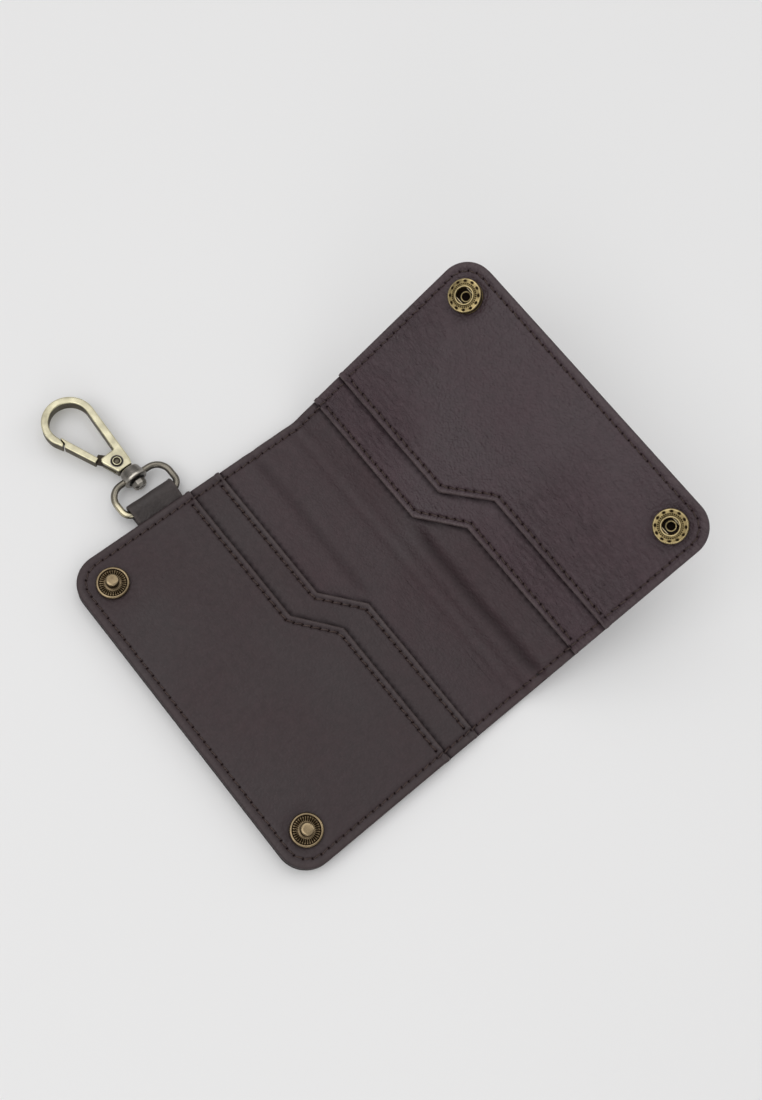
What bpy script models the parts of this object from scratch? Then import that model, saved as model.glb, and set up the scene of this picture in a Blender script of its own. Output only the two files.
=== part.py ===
"""Bifold snap-button card wallet with a swivel snap hook on a leather tab.

Metres, +Z up. The fold lines run along Y. The left cover lies flat, with the
studs and the hook tab; the right cover, with the sockets, is raised about its
fold line. The origin is the centre of the underside of the spine.
"""
import math

import bmesh
import bpy
from mathutils import Matrix, Vector

MM = 0.001

# ---- driving dimensions, millimetres ------------------------------------
HEIGHT = 108.0            # along the fold lines
REACH = 78.0              # spine centre to outer edge of each cover, laid flat
CORNER = 9.0              # outer corner radius
FOLD = 4.4                # spine centre to each fold line: half the closed gap
RAISE = 32.8              # rise of the right cover, degrees
FOLD_GAP = 0.15           # each side of a fold line

OUTER = (0.0, 1.2)        # layer heights, bottom and top
BOARD = (1.3, 1.9)
LINING = (2.0, 2.8)
LOWER = (2.9, 3.8)
UPPER = (3.9, 4.8)
TOP = UPPER[1]

STITCH_IN = 2.64          # perimeter stitching to the edge
LIP_STITCH = 1.9          # pocket stitching to the pocket's lip
THREAD_R = 0.28

# pocket lips: (near distance, far distance, y where far ends, y where near begins)
LIP_LOWER_L = (13.65, 23.6, 7.0, -4.6)
LIP_UPPER_L = (24.45, 34.3, 6.05, -6.1)
LIP_LOWER_R = (13.95, 24.3, 7.1, -6.2)
LIP_UPPER_R = (24.95, 35.7, 7.1, -5.8)

SNAP_U, SNAP_Y = 68.4, 43.9
SHANK_HOLE = 1.85

TAB_X, TAB_HALF = -44.2, 7.75
AXIS_X, AXIS_Z = -44.3, 3.5   # swivel axis
BAR_Y = 57.5                  # ring bar, the ring's pivot
TAB_FLEX = (55.6, 2.6)        # y, z of the tab's flex line
WIRE_R = 0.9
HOOK_T = 4.0                  # hook thickness
RIVET = (-45.7, 73.5)         # gate pivot


# ---- helpers --------------------------------------------------------------
for old in list(bpy.data.objects):
    bpy.data.objects.remove(old, do_unlink=True)

PARTS = bpy.data.collections.new("snap_card_wallet")
CUTTERS = bpy.data.collections.new("cutters")
bpy.context.scene.collection.children.link(PARTS)
bpy.context.scene.collection.children.link(CUTTERS)
CUTTERS.hide_render = True


def material(name, color, roughness, metallic=0.0):
    m = bpy.data.materials.new(name)
    m.use_nodes = True
    b = m.node_tree.nodes["Principled BSDF"]
    b.inputs["Base Color"].default_value = (*color, 1.0)
    b.inputs["Roughness"].default_value = roughness
    b.inputs["Metallic"].default_value = metallic
    m.diffuse_color = (*color, 1.0)
    return m


HIDE = (0.060, 0.046, 0.045)
LINER = (0.070, 0.050, 0.050)
CARD = (0.30, 0.26, 0.22)
THREAD = (0.045, 0.025, 0.020)
PALE = (0.55, 0.48, 0.30)
DARK = (0.27, 0.24, 0.21)
GOLD = (0.46, 0.35, 0.16)
BRONZE = (0.34, 0.23, 0.12)


def link(obj, mat, parent=None):
    PARTS.objects.link(obj)
    if not obj.data.materials:
        obj.data.materials.append(mat)
    if parent is not None:
        obj.parent = parent
    return obj


def empty(name, loc, rot=(0, 0, 0)):
    e = bpy.data.objects.new(name, None)
    e.location = [v * MM for v in loc]
    e.rotation_euler = rot
    PARTS.objects.link(e)
    return e


def arc(cx, cy, r, a0, a1, n):
    """n + 1 points on a circle, angles in degrees."""
    out = []
    for i in range(n + 1):
        a = math.radians(a0 + (a1 - a0) * i / n)
        out.append((cx + r * math.cos(a), cy + r * math.sin(a)))
    return out


def circle(cx, cy, r, n=20):
    return arc(cx, cy, r, 0, 360 - 360 / n, n - 1)


def flat_curve(name, loops):
    """A filled 2D outline; loops after the first are holes. Points in mm."""
    cu = bpy.data.curves.new(name, "CURVE")
    cu.dimensions = "2D"
    cu.fill_mode = "BOTH"
    for loop in loops:
        sp = cu.splines.new("POLY")
        sp.points.add(len(loop) - 1)
        for p, (x, y) in zip(sp.points, loop):
            p.co = (x * MM, y * MM, 0, 1)
        sp.use_cyclic_u = True
    return cu


def plate(name, loops, z0, z1, mat, parent=None, origin=(0, 0, 0)):
    cu = flat_curve(name, loops)
    cu.extrude = (z1 - z0) / 2 * MM
    o = bpy.data.objects.new(name, cu)
    o.location = (-origin[0] * MM, -origin[1] * MM, ((z0 + z1) / 2 - origin[2]) * MM)
    return link(o, mat, parent)


def tube(name, points, radius, mat, parent=None, origin=(0, 0, 0), cyclic=False, res=0):
    cu = bpy.data.curves.new(name, "CURVE")
    cu.dimensions = "3D"
    cu.bevel_depth = radius * MM
    cu.bevel_resolution = res
    cu.use_fill_caps = not cyclic
    sp = cu.splines.new("POLY")
    sp.points.add(len(points) - 1)
    for p, (x, y, z) in zip(sp.points, points):
        p.co = ((x - origin[0]) * MM, (y - origin[1]) * MM, (z - origin[2]) * MM, 1)
    sp.use_cyclic_u = cyclic
    return link(bpy.data.objects.new(name, cu), mat, parent)


def turned(name, profile, steps, mat, loc, parent=None, rot=(0, 0, 0), ring=False):
    """Profile of (radius, height) in mm, down the outer side; ring closes it round a bore."""
    me = bpy.data.meshes.new(name)
    verts = [(r * MM, 0, z * MM) for r, z in profile]
    edges = [(i, i + 1) for i in range(len(verts) - 1)]
    if ring:
        edges.append((len(verts) - 1, 0))
    me.from_pydata(verts, edges, [])
    o = bpy.data.objects.new(name, me)
    o.location = [v * MM for v in loc]
    o.rotation_euler = rot
    s = o.modifiers.new("turn", "SCREW")
    s.angle = math.tau
    s.steps = s.render_steps = steps
    s.use_merge_vertices = True
    s.merge_threshold = 0.00001
    s.use_smooth_shade = True
    return link(o, mat, parent)


def meshed(obj):
    """Replace a curve or modified object by its mesh, in world space."""
    bpy.context.view_layer.update()
    graph = bpy.context.evaluated_depsgraph_get()
    me = bpy.data.meshes.new_from_object(obj.evaluated_get(graph))
    me.transform(obj.matrix_world)
    bm = bmesh.new()
    bm.from_mesh(me)
    bmesh.ops.remove_doubles(bm, verts=bm.verts, dist=0.000002)
    bmesh.ops.recalc_face_normals(bm, faces=bm.faces)
    bm.to_mesh(me)
    bm.free()
    name, mat = obj.name, obj.data.materials[0]
    bpy.data.objects.remove(obj, do_unlink=True)
    me.name = name
    o = bpy.data.objects.new(name, me)
    if not me.materials:
        me.materials.append(mat)
    PARTS.objects.link(o)
    return o


def cutter(obj):
    for c in list(obj.users_collection):
        c.objects.unlink(obj)
    CUTTERS.objects.link(obj)
    obj.hide_render = True
    obj.display_type = "WIRE"
    return obj


def boolean(obj, other, operation):
    b = obj.modifiers.new(operation.lower(), "BOOLEAN")
    b.operation = operation
    b.solver = "EXACT"
    b.object = other
    return obj


def box_cutter(name, lo, hi):
    bpy.ops.mesh.primitive_cube_add(size=1.0)
    o = bpy.context.object
    o.name = name
    o.data.transform(
        scale_and_move(
            [(hi[i] - lo[i]) * MM for i in range(3)],
            [(hi[i] + lo[i]) / 2 * MM for i in range(3)],
        )
    )
    return cutter(o)


def scale_and_move(size, centre):
    return Matrix.Translation(Vector(centre)) @ Matrix.Diagonal((*size, 1.0))


def cylinder_cutter(name, centre, radius, depth, steps=24):
    bpy.ops.mesh.primitive_cylinder_add(
        vertices=steps, radius=radius * MM, depth=depth * MM,
        location=[v * MM for v in centre],
    )
    o = bpy.context.object
    o.name = name
    return cutter(o)


# ---- outlines, in (distance from spine centre, y) --------------------------
def cover_outline(inset=0.0, start=FOLD + FOLD_GAP, n=8):
    h, u1, r = HEIGHT / 2 - inset, REACH - inset, CORNER - inset
    return (
        [(start, -h)]
        + arc(u1 - r, -h + r, r, -90, 0, n)
        + arc(u1 - r, h - r, r, 0, 90, n)
        + [(start, h)]
    )


def lip_points(lip, y_end, offset=0.0, up_far=True):
    """The zigzag edge of a pocket, from +y to -y, moved outward by offset."""
    near, far, y_hi, y_lo = lip
    if up_far:
        pts = [(far, y_end), (far, y_hi), (near, y_lo), (near, -y_end)]
    else:
        pts = [(near, y_end), (near, y_hi), (far, y_lo), (far, -y_end)]
    if not offset:
        return pts
    return offset_line(pts, offset)


def offset_line(pts, d):
    """A polyline that runs towards -y, moved by d towards greater u, with mitred corners."""
    out = []
    for i, p in enumerate(pts):
        dirs = []
        if i > 0:
            dirs.append(Vector(p) - Vector(pts[i - 1]))
        if i < len(pts) - 1:
            dirs.append(Vector(pts[i + 1]) - Vector(p))
        normals = [Vector((-v.y, v.x)).normalized() for v in dirs]
        m = sum(normals, Vector((0, 0)))
        m.normalize()
        out.append(tuple(Vector(p) + m * (d / m.dot(normals[0]))))
    return out


def pocket_outline(lip, up_far, inset=0.25, n=8):
    h, u1, r = HEIGHT / 2 - inset, REACH - inset, CORNER - inset
    edge = lip_points(lip, h, up_far=up_far)
    return edge + arc(u1 - r, -h + r, r, -90, 0, n) + arc(u1 - r, h - r, r, 0, 90, n)


def holes(r=SHANK_HOLE):
    return [circle(SNAP_U, s * SNAP_Y, r) for s in (1, -1)]


def mirror(loops):
    return [[(-u, y) for u, y in loop] for loop in loops]


def same(loops):
    return loops


# ---- the two covers --------------------------------------------------------
hinge = (FOLD, 0.0, LINING[1])
fold_left = empty("fold_left_axis", (-FOLD, 0, LINING[1]))
fold_right = empty("fold_right_axis", hinge, (0, -math.radians(RAISE), 0))

leather_out = material("outer_leather", HIDE, 0.5)
leather_in = material("inner_leather", LINER, 0.55)
board_mat = material("stiffener_board", CARD, 0.8)
thread_mat = material("seam_thread", THREAD, 0.7)
gold = material("socket_brass", GOLD, 0.35, 1.0)
bronze = material("stud_bronze", BRONZE, 0.4, 1.0)
pale = material("hook_brass", PALE, 0.35, 1.0)
dark = material("swivel_metal", DARK, 0.35, 1.0)
spring_mat = material("snap_spring", (0.5, 0.42, 0.25), 0.3, 1.0)

SEAT = 4.3  # the recess in the outer leather for a stud's flush back
NOTCH = [
    (-TAB_X - TAB_HALF - 0.25, HEIGHT / 2 + 1), (-TAB_X - TAB_HALF - 0.25, 45.7),
    (-TAB_X + TAB_HALF + 0.25, 45.7), (-TAB_X + TAB_HALF + 0.25, HEIGHT / 2 + 1),
]


def notched(inset):
    """Cover outline with a bay in the +y edge for the sewn-in end of the tab."""
    pts = cover_outline(inset)
    h = HEIGHT / 2 - inset
    u0, u1 = NOTCH[0][0], NOTCH[2][0]
    return pts[:-1] + [(u1, h), (u1, 45.7), (u0, 45.7), (u0, h)] + [pts[-1]]


for side, flip, parent, origin in (
    ("left", mirror, None, (0, 0, 0)),
    ("right", same, fold_right, hinge),
):
    left = side == "left"
    plate("outer_cover_" + side, flip([cover_outline()] + holes(SEAT if left else SHANK_HOLE)), *OUTER, leather_out, parent, origin)
    board = notched(1.5) if left else cover_outline(1.5)
    plate("stiffener_" + side, flip([board] + holes()), *BOARD, board_mat, parent, origin)
    lining = notched(0.25) if left else cover_outline(0.25)
    plate("lining_" + side, flip([lining] + holes()), *LINING, leather_in, parent, origin)
    low, up = (LIP_LOWER_L, LIP_UPPER_L) if left else (LIP_LOWER_R, LIP_UPPER_R)
    plate("lower_pocket_" + side, flip([pocket_outline(low, left)] + holes()), *LOWER, leather_in, parent, origin)
    plate("upper_pocket_" + side, flip([pocket_outline(up, left)] + holes()), *UPPER, leather_in, parent, origin)

    # stitching: one line of thread round the cover, one behind each pocket lip
    sign = -1 if left else 1
    h = HEIGHT / 2 - STITCH_IN
    u1, r = REACH - STITCH_IN, CORNER - STITCH_IN
    lift = THREAD_R + 0.05
    hi_lips = (low[1], up[1]) if left else (low[0], up[0])
    lo_lips = (low[0], up[0]) if left else (low[1], up[1])

    def climb(lips):
        pts, z = [(FOLD + 0.7, LINING[1] + lift)], LINING[1] + lift
        for lip, top in zip(lips, (LOWER[1], UPPER[1])):
            pts += [(lip - 1.3, z), (lip - 0.45, top + lift)]
            z = top + lift
        return pts

    line = [(u, -h, z) for u, z in climb(lo_lips)]
    line += [(u, y, TOP + lift) for u, y in arc(u1 - r, -h + r, r, -90, 0, 6)]
    line += [(u, y, TOP + lift) for u, y in arc(u1 - r, h - r, r, 0, 90, 6)]
    line += [(u, h, z) for u, z in reversed(climb(hi_lips))]
    tube("seam_cover_" + side, [(sign * u, y, z) for u, y, z in line], THREAD_R, thread_mat, parent, origin)
    for label, lip, layer in (("lower", low, LOWER), ("upper", up, UPPER)):
        pts = lip_points(lip, h - 1.0, LIP_STITCH, up_far=left)
        tube(
            "seam_%s_pocket_%s" % (label, side),
            [(sign * u, y, layer[1] + lift) for u, y in pts],
            THREAD_R, thread_mat, parent, origin,
        )

# ---- the spine ---------------------------------------------------------------
half = FOLD - FOLD_GAP
for name, layer, inset, mat in (
    ("outer_spine", OUTER, 0.0, leather_out), ("lining_spine", LINING, 0.25, leather_in),
):
    h = HEIGHT / 2 - inset
    plate(name, [[(-half, -h), (half, -h), (half, h), (-half, h)]], *layer, mat)
for name, s in (("seam_spine_top", 1), ("seam_spine_bottom", -1)):
    y, z = s * (HEIGHT / 2 - STITCH_IN), LINING[1] + THREAD_R + 0.05
    tube(name, [(-half + 0.3, y, z), (0, y, z), (half - 0.3, y, z)], THREAD_R, thread_mat)

# ---- snap fasteners -------------------------------------------------------------
STUD = [
    (0, 4.1), (1.5, 4.1), (1.95, 3.75), (1.95, 3.2), (1.7, 2.7), (1.7, 0.9), (2.1, 0.6),
    (3.7, 0.6), (4.1, 1.05), (4.5, 1.1), (4.75, 0.8), (4.75, 0.4), (4.5, 0.1),
    (1.35, 0.1), (1.35, 2.0), (0, 2.0),
]
STUD_BACK = [
    (0, 1.6), (1.15, 1.6), (1.15, 0.0), (1.7, 0.0), (1.7, -3.6), (4.0, -3.6),
    (4.1, -3.9), (4.1, -4.5), (3.9, -4.7), (0, -4.7),
]
SOCKET = [
    (2.35, 3.15), (2.5, 3.4), (2.85, 3.4), (3.0, 3.1), (4.6, 3.0), (4.95, 2.75), (4.95, 2.15),
    (4.8, 1.95), (4.8, 0.55), (4.95, 0.4), (4.95, 0.1), (1.98, 0.1), (1.98, 0.6),
    (2.95, 0.6), (2.95, 2.4), (2.35, 2.65),
]
CAP = [
    (0, 4.2 - TOP), (1.15, 4.2 - TOP), (1.15, 0.5), (1.75, 0.5), (1.85, 0.3), (1.7, 0.05),
    (1.7, -TOP - 0.1), (5.7, -TOP - 0.1), (5.95, -TOP - 0.4), (5.3, -TOP - 1.1),
    (3.2, -TOP - 1.5), (0, -TOP - 1.6),
]
for place, s in (("top", 1), ("bottom", -1)):
    at = (-SNAP_U, s * SNAP_Y, TOP)
    turned("snap_stud_" + place, STUD, 24, bronze, at)
    turned("stud_back_" + place, STUD_BACK, 20, bronze, at)
    at = (SNAP_U - hinge[0], s * SNAP_Y, TOP - hinge[2])
    turned("snap_socket_" + place, SOCKET, 24, gold, at, fold_right, ring=True)
    turned("snap_cap_" + place, CAP, 20, gold, at, fold_right)
    wire = [(SNAP_U + x, s * SNAP_Y + y, TOP + 1.5) for x, y in arc(0, 0, 2.6, 20, 340, 18)]
    tube("socket_spring_" + place, wire, 0.2, spring_mat, fold_right, hinge)

# ---- hook tab --------------------------------------------------------------------
anchor_x = (TAB_X - TAB_HALF, TAB_X + TAB_HALF)
plate(
    "tab_anchor",
    [[(anchor_x[0], 46.0), (anchor_x[1], 46.0), (anchor_x[1], 53.85), (anchor_x[0], 53.85)]],
    1.35, 2.7, leather_out,
)


def hull_of_two(c1, r1, c2, r2, n=10):
    """Outline round two circles, the second at greater y, as (y, z) points."""
    d = Vector((c2[0] - c1[0], c2[1] - c1[1]))
    base = math.degrees(math.atan2(d.y, d.x))
    open_angle = math.degrees(math.acos((r1 - r2) / d.length))
    a = arc(c2[0], c2[1], r2, base - open_angle, base + open_angle, n)
    b = arc(c1[0], c1[1], r1, base + open_angle, base + 360 - open_angle, n)
    return a + b


LOOP_END = (58.45, AXIS_Z)
SLOT_R = 1.45
tab_outline = hull_of_two(TAB_FLEX, 1.45, LOOP_END, 2.4)
slot = arc(LOOP_END[0], AXIS_Z, SLOT_R, -90, 90, 8) + arc(BAR_Y, AXIS_Z, SLOT_R, 90, 270, 8)
cu = flat_curve("ring_tab", [tab_outline, slot])
cu.extrude = TAB_HALF * MM
tab = bpy.data.objects.new("ring_tab", cu)
# the outline's x runs along +Y and its y along +Z, so the extrusion runs along X
tab.rotation_euler = (math.pi / 2, 0, math.pi / 2)
tab.location = (TAB_X * MM, 0, 0)
link(tab, leather_out)

# ---- ring, barrel and swivel pin ---------------------------------------------------
RING_HALF, RING_TOP = 9.2, 67.2
R_LOW, R_HIGH = 3.0, 4.4


def ring_line():
    x0, x1 = AXIS_X + 0.2 - RING_HALF, AXIS_X + 0.2 + RING_HALF
    pts = arc(x0 + R_LOW, BAR_Y + R_LOW, R_LOW, 270, 180, 6)
    pts += arc(x0 + R_HIGH, RING_TOP - R_HIGH, R_HIGH, 180, 90, 8)
    pts += arc(x1 - R_HIGH, RING_TOP - R_HIGH, R_HIGH, 90, 0, 8)
    pts += arc(x1 - R_LOW, BAR_Y + R_LOW, R_LOW, 0, -90, 6)
    return [(x, y, AXIS_Z) for x, y in pts]


toward_y = (-math.pi / 2, 0, 0)  # local +Z runs along +Y
eye = meshed(tube("swivel_eye", ring_line(), WIRE_R, dark, cyclic=True, res=2))
barrel = meshed(turned(
    "barrel", [(0, 70.0), (2.5, 70.0), (2.8, 69.7), (3.35, 67.4), (3.4, 66.5), (3.0, 65.9), (0, 65.9)],
    24, dark, (AXIS_X, 0, AXIS_Z), rot=toward_y,
))
bore = meshed(turned(
    "barrel_bore", [(0, 72.0), (1.35, 72.0), (1.35, 64.0), (0, 64.0)], 20, dark,
    (AXIS_X, 0, AXIS_Z), rot=toward_y,
))
boolean(eye, cutter(barrel), "UNION")
boolean(eye, cutter(bore), "DIFFERENCE")

turned(
    "swivel_pin",
    [(0, 70.4), (1.25, 70.4), (1.25, 65.7), (1.9, 65.7), (2.05, 65.4), (2.05, 64.0), (1.6, 63.4), (0, 63.4)],
    16, dark, (AXIS_X, 0, AXIS_Z), rot=toward_y,
)

# ---- snap hook -----------------------------------------------------------------------
BOW = (-49.4, 91.9)
BOW_OUT, BOW_IN = 8.1, 6.0
hook_line = [(-47.2, 70.5), (-49.3, 75.4), (-49.35, 76.3), (-48.9, 76.9), (-44.25, 77.2)]
hook_line += arc(*BOW, BOW_IN, 0, 206, 18)
hook_line += [(-54.75, 87.2), (-55.5, 86.3)]
hook_line += arc(*BOW, BOW_OUT, 202, 0, 22)
hook_line += [(-42.1, 72.3), (-42.7, 70.5)]
zmid = AXIS_Z
body = meshed(plate("hook_body", [hook_line[::-1]], zmid - HOOK_T / 2, zmid + HOOK_T / 2, pale))
boolean(body, box_cutter("gate_slot", (-52, 71.35, zmid - 0.8), (-43.55, 79, zmid + 0.8)), "DIFFERENCE")
boolean(body, cylinder_cutter("rivet_bore", (*RIVET, zmid), 1.15, 8), "DIFFERENCE")

turned(
    "gate_rivet",
    [(0, 2.3), (1.5, 2.3), (1.75, 2.15), (1.75, 2.05), (1.05, 2.05), (1.05, -2.05), (1.75, -2.05), (1.75, -2.15), (1.5, -2.3), (0, -2.3)],
    20, dark, (*RIVET, zmid),
)

# the gate: a bar that closes the bow, and a thin tang that turns on the rivet
bar_line = [(-49.35, 77.55), (-50.95, 76.75), (-55.2, 86.1), (-54.4, 86.95), (-54.55, 89.1), (-54.1, 88.9)]
gate = meshed(plate("hook_gate", [bar_line], zmid - 1.8, zmid + 1.8, pale))
tang_line = arc(*RIVET, 1.85, -70, 45, 6) + [(-48.6, 78.9), (-51.2, 77.6)] + arc(*RIVET, 1.85, 200, 270, 4)
tang = meshed(plate("gate_tang", [tang_line], zmid - 0.65, zmid + 0.65, pale))
boolean(gate, cutter(tang), "UNION")
boolean(gate, cylinder_cutter("tang_bore", (*RIVET, zmid), 1.15, 6), "DIFFERENCE")
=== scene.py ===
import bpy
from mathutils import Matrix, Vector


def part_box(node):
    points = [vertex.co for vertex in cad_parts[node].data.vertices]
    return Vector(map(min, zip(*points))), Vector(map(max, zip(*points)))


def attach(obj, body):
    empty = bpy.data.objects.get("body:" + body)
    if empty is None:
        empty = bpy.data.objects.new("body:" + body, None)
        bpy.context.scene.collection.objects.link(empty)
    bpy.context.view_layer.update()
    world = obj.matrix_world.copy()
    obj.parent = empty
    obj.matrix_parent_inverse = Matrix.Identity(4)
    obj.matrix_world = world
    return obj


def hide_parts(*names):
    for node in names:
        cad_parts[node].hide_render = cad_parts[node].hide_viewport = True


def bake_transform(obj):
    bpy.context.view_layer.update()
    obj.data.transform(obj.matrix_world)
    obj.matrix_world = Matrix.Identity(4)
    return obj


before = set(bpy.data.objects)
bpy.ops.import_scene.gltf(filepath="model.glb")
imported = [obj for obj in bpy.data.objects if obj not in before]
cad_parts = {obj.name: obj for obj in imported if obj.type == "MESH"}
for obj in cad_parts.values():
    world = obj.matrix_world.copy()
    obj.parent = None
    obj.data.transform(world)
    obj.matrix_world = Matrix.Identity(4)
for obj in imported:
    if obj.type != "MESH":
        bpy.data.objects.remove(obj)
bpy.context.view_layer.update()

import math

import bmesh
import bpy
import numpy as np
from mathutils import Matrix, Vector
from mathutils.geometry import delaunay_2d_cdt

MM = 0.001

# ---- the same driving dimensions as the CAD, millimetres ---------------------
HEIGHT, REACH, CORNER, FOLD = 108.0, 78.0, 9.0, 4.4
RAISE, HINGE_Z = math.radians(32.8), 2.8
BEND = 3.4                       # half width of the soft bend at each fold line
SHELL_TOP = 1.92
LINING, LOWER, UPPER = (1.95, 2.8), (2.85, 3.8), (3.85, 4.8)
TOP = UPPER[1]
STITCH_IN, LIP_STITCH, PITCH = 2.64, 1.9, 2.6
LIPS = {
    ("left", "lower"): (13.65, 23.6, 7.0, -4.6),
    ("left", "upper"): (24.45, 34.3, 6.05, -6.1),
    ("right", "lower"): (13.95, 24.3, 7.1, -6.2),
    ("right", "upper"): (24.95, 35.7, 7.1, -5.8),
}
SNAP_U, SNAP_Y = 68.4, 43.9
TAB_X, TAB_HALF = -44.2, 7.75
AXIS_X, AXIS_Z, BAR_Y = -44.3, 3.5, 57.5
RIVET = (-45.7, 73.5)


def node_centre(name):
    lo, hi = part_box(name)
    return (lo + hi) / 2 / MM


# =============================================================================
# mesh helpers
# =============================================================================
def unit(a):
    return a / np.maximum(np.linalg.norm(a, axis=-1, keepdims=True), 1e-12)


def arc(cx, cy, r, a0, a1, n):
    t = np.radians(np.linspace(a0, a1, n + 1))
    return [(cx + r * math.cos(a), cy + r * math.sin(a)) for a in t]


def dense(poly, step, closed=True):
    """The polyline with no segment longer than step."""
    P = [np.array(p, float) for p in poly]
    out = []
    for i in range(len(P) if closed else len(P) - 1):
        a, b = P[i], P[(i + 1) % len(P)]
        n = max(1, int(math.ceil(np.linalg.norm(b - a) / step - 1e-6)))
        out += [a + (b - a) * k / n for k in range(n)]
    if not closed:
        out.append(P[-1])
    return np.array(out)


def inset(poly, d):
    """A counter-clockwise closed outline moved inwards by d."""
    P = np.asarray(poly, float)
    e1, e2 = unit(P - np.roll(P, 1, 0)), unit(np.roll(P, -1, 0) - P)
    n1 = np.c_[-e1[:, 1], e1[:, 0]]
    n2 = np.c_[-e2[:, 1], e2[:, 0]]
    m = unit(n1 + n2)
    k = d / np.clip((m * n1).sum(1), 0.3, 1)
    return P + m * k[:, None]


def dist_line(P, line):
    """Distance of each point to an open polyline."""
    best = np.full(len(P), 1e9)
    for a, b in zip(line[:-1], line[1:]):
        a, b = np.array(a, float), np.array(b, float)
        d = b - a
        t = np.clip(((P - a) @ d) / max(d @ d, 1e-12), 0, 1)
        best = np.minimum(best, np.linalg.norm(P - (a + t[:, None] * d), axis=1))
    return best


def inside(P, poly):
    x, y = P[:, 0], P[:, 1]
    hit = np.zeros(len(P), bool)
    Q = np.asarray(poly)
    for (x1, y1), (x2, y2) in zip(Q, np.roll(Q, -1, 0)):
        c = (y1 > y) != (y2 > y)
        with np.errstate(divide="ignore", invalid="ignore"):
            xi = x1 + (y - y1) * (x2 - x1) / (y2 - y1)
        hit ^= c & (x < xi)
    return hit


class Shape:
    """Vertices in mm, faces, a material index per face and a value per vertex for wear and for painted highlights and
    shade.
    """

    def __init__(self):
        self.v, self.f, self.m, self.w, self.n = [], [], [], [], 0

    def add(self, verts, faces, mat=0, wear_and_painted_light=None):
        verts = np.asarray(verts, float).reshape(-1, 3)
        faces = [tuple(int(i) + self.n for i in f) for f in faces]
        self.v.append(verts)
        self.f += faces
        self.m += [mat] * len(faces)
        self.w.append(np.zeros(len(verts)) if wear_and_painted_light is None else np.asarray(wear_and_painted_light, float))
        self.n += len(verts)
        return self

    def points(self):
        return np.concatenate(self.v)


def make(name, shape, mats, move=None, sharp=None, flip=False):
    """A mesh object from a Shape. move maps the points, in mm."""
    P = shape.points()
    if move is not None:
        P = move(P)
    me = bpy.data.meshes.new(name)
    me.from_pydata((P * MM).tolist(), [], shape.f)
    me.update()
    for m in mats:
        me.materials.append(m)
    me.polygons.foreach_set("material_index", np.array(shape.m, np.int32))
    wear_and_painted_light = me.attributes.new("wear_and_painted_light", "FLOAT", "POINT")
    wear_and_painted_light.data.foreach_set("value", np.concatenate(shape.w).astype(np.float32))
    bm = bmesh.new()
    bm.from_mesh(me)
    bmesh.ops.remove_doubles(bm, verts=bm.verts, dist=1e-7)
    bmesh.ops.dissolve_degenerate(bm, edges=bm.edges, dist=1e-8)
    loose = [v for v in bm.verts if not v.link_faces]
    bmesh.ops.delete(bm, geom=loose, context="VERTS")
    bmesh.ops.recalc_face_normals(bm, faces=bm.faces)
    bm.to_mesh(me)
    bm.free()
    me.polygons.foreach_set("use_smooth", np.ones(len(me.polygons), bool))
    if sharp is not None:
        me.set_sharp_from_angle(angle=math.radians(sharp))
    me.update()
    o = bpy.data.objects.new(name, me)
    bpy.context.scene.collection.objects.link(o)
    return o


def triangulate(loop, rings, points):
    """Triangles filling a closed loop, keeping ring edges. Returns points and triangles; the loop comes first, in order."""
    pts, edges = [tuple(p) for p in loop], []
    for ring in rings:
        s = len(pts)
        pts += [tuple(p) for p in ring]
        edges += [(s + i, s + (i + 1) % len(ring)) for i in range(len(ring))]
    pts += [tuple(p) for p in points]
    out = delaunay_2d_cdt([Vector(p) for p in pts], edges, [list(range(len(loop)))], 1, 1e-6)
    verts, faces, origin = out[0], out[2], out[3]
    place = {}
    for k, src in enumerate(origin):
        for i in src:
            place[i] = k
    order = [place[i] for i in range(len(loop))]
    first = {k: i for i, k in enumerate(order)}
    new, rest = {}, len(order)
    coords = [None] * len(order)
    for i, k in enumerate(order):
        coords[i] = (verts[k].x, verts[k].y)
    for k, v in enumerate(verts):
        if k in first:
            new[k] = first[k]
        else:
            new[k] = rest
            coords.append((v.x, v.y))
            rest += 1
    return np.array(coords), [tuple(new[i] for i in f) for f in faces]


def tube(points, radius, sides=8, closed=False, caps=True, up=(0, 0, 1), squash=1.0):
    """A tube along a polyline; radius is a number or one per point."""
    P = np.asarray(points, float)
    n = len(P)
    R = np.full(n, radius, float) if np.isscalar(radius) else np.asarray(radius, float)
    if closed:
        T = unit(np.roll(P, -1, 0) - np.roll(P, 1, 0))
    else:
        T = unit(np.gradient(P, axis=0))
    side = unit(np.cross(T, np.array(up, float)))
    nrm = np.cross(side, T)
    verts, faces = [], []
    a = np.linspace(0, 2 * math.pi, sides, endpoint=False)
    for i in range(n):
        verts.append(P[i] + R[i] * (np.cos(a)[:, None] * side[i] + squash * np.sin(a)[:, None] * nrm[i]))
    V = np.concatenate(verts)
    for i in range(n if closed else n - 1):
        j = (i + 1) % n
        for k in range(sides):
            l = (k + 1) % sides
            faces.append((i * sides + k, i * sides + l, j * sides + l, j * sides + k))
    if not closed and caps:
        faces.append(tuple(range(sides - 1, -1, -1)))
        faces.append(tuple((n - 1) * sides + k for k in range(sides)))
    return V, faces


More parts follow.
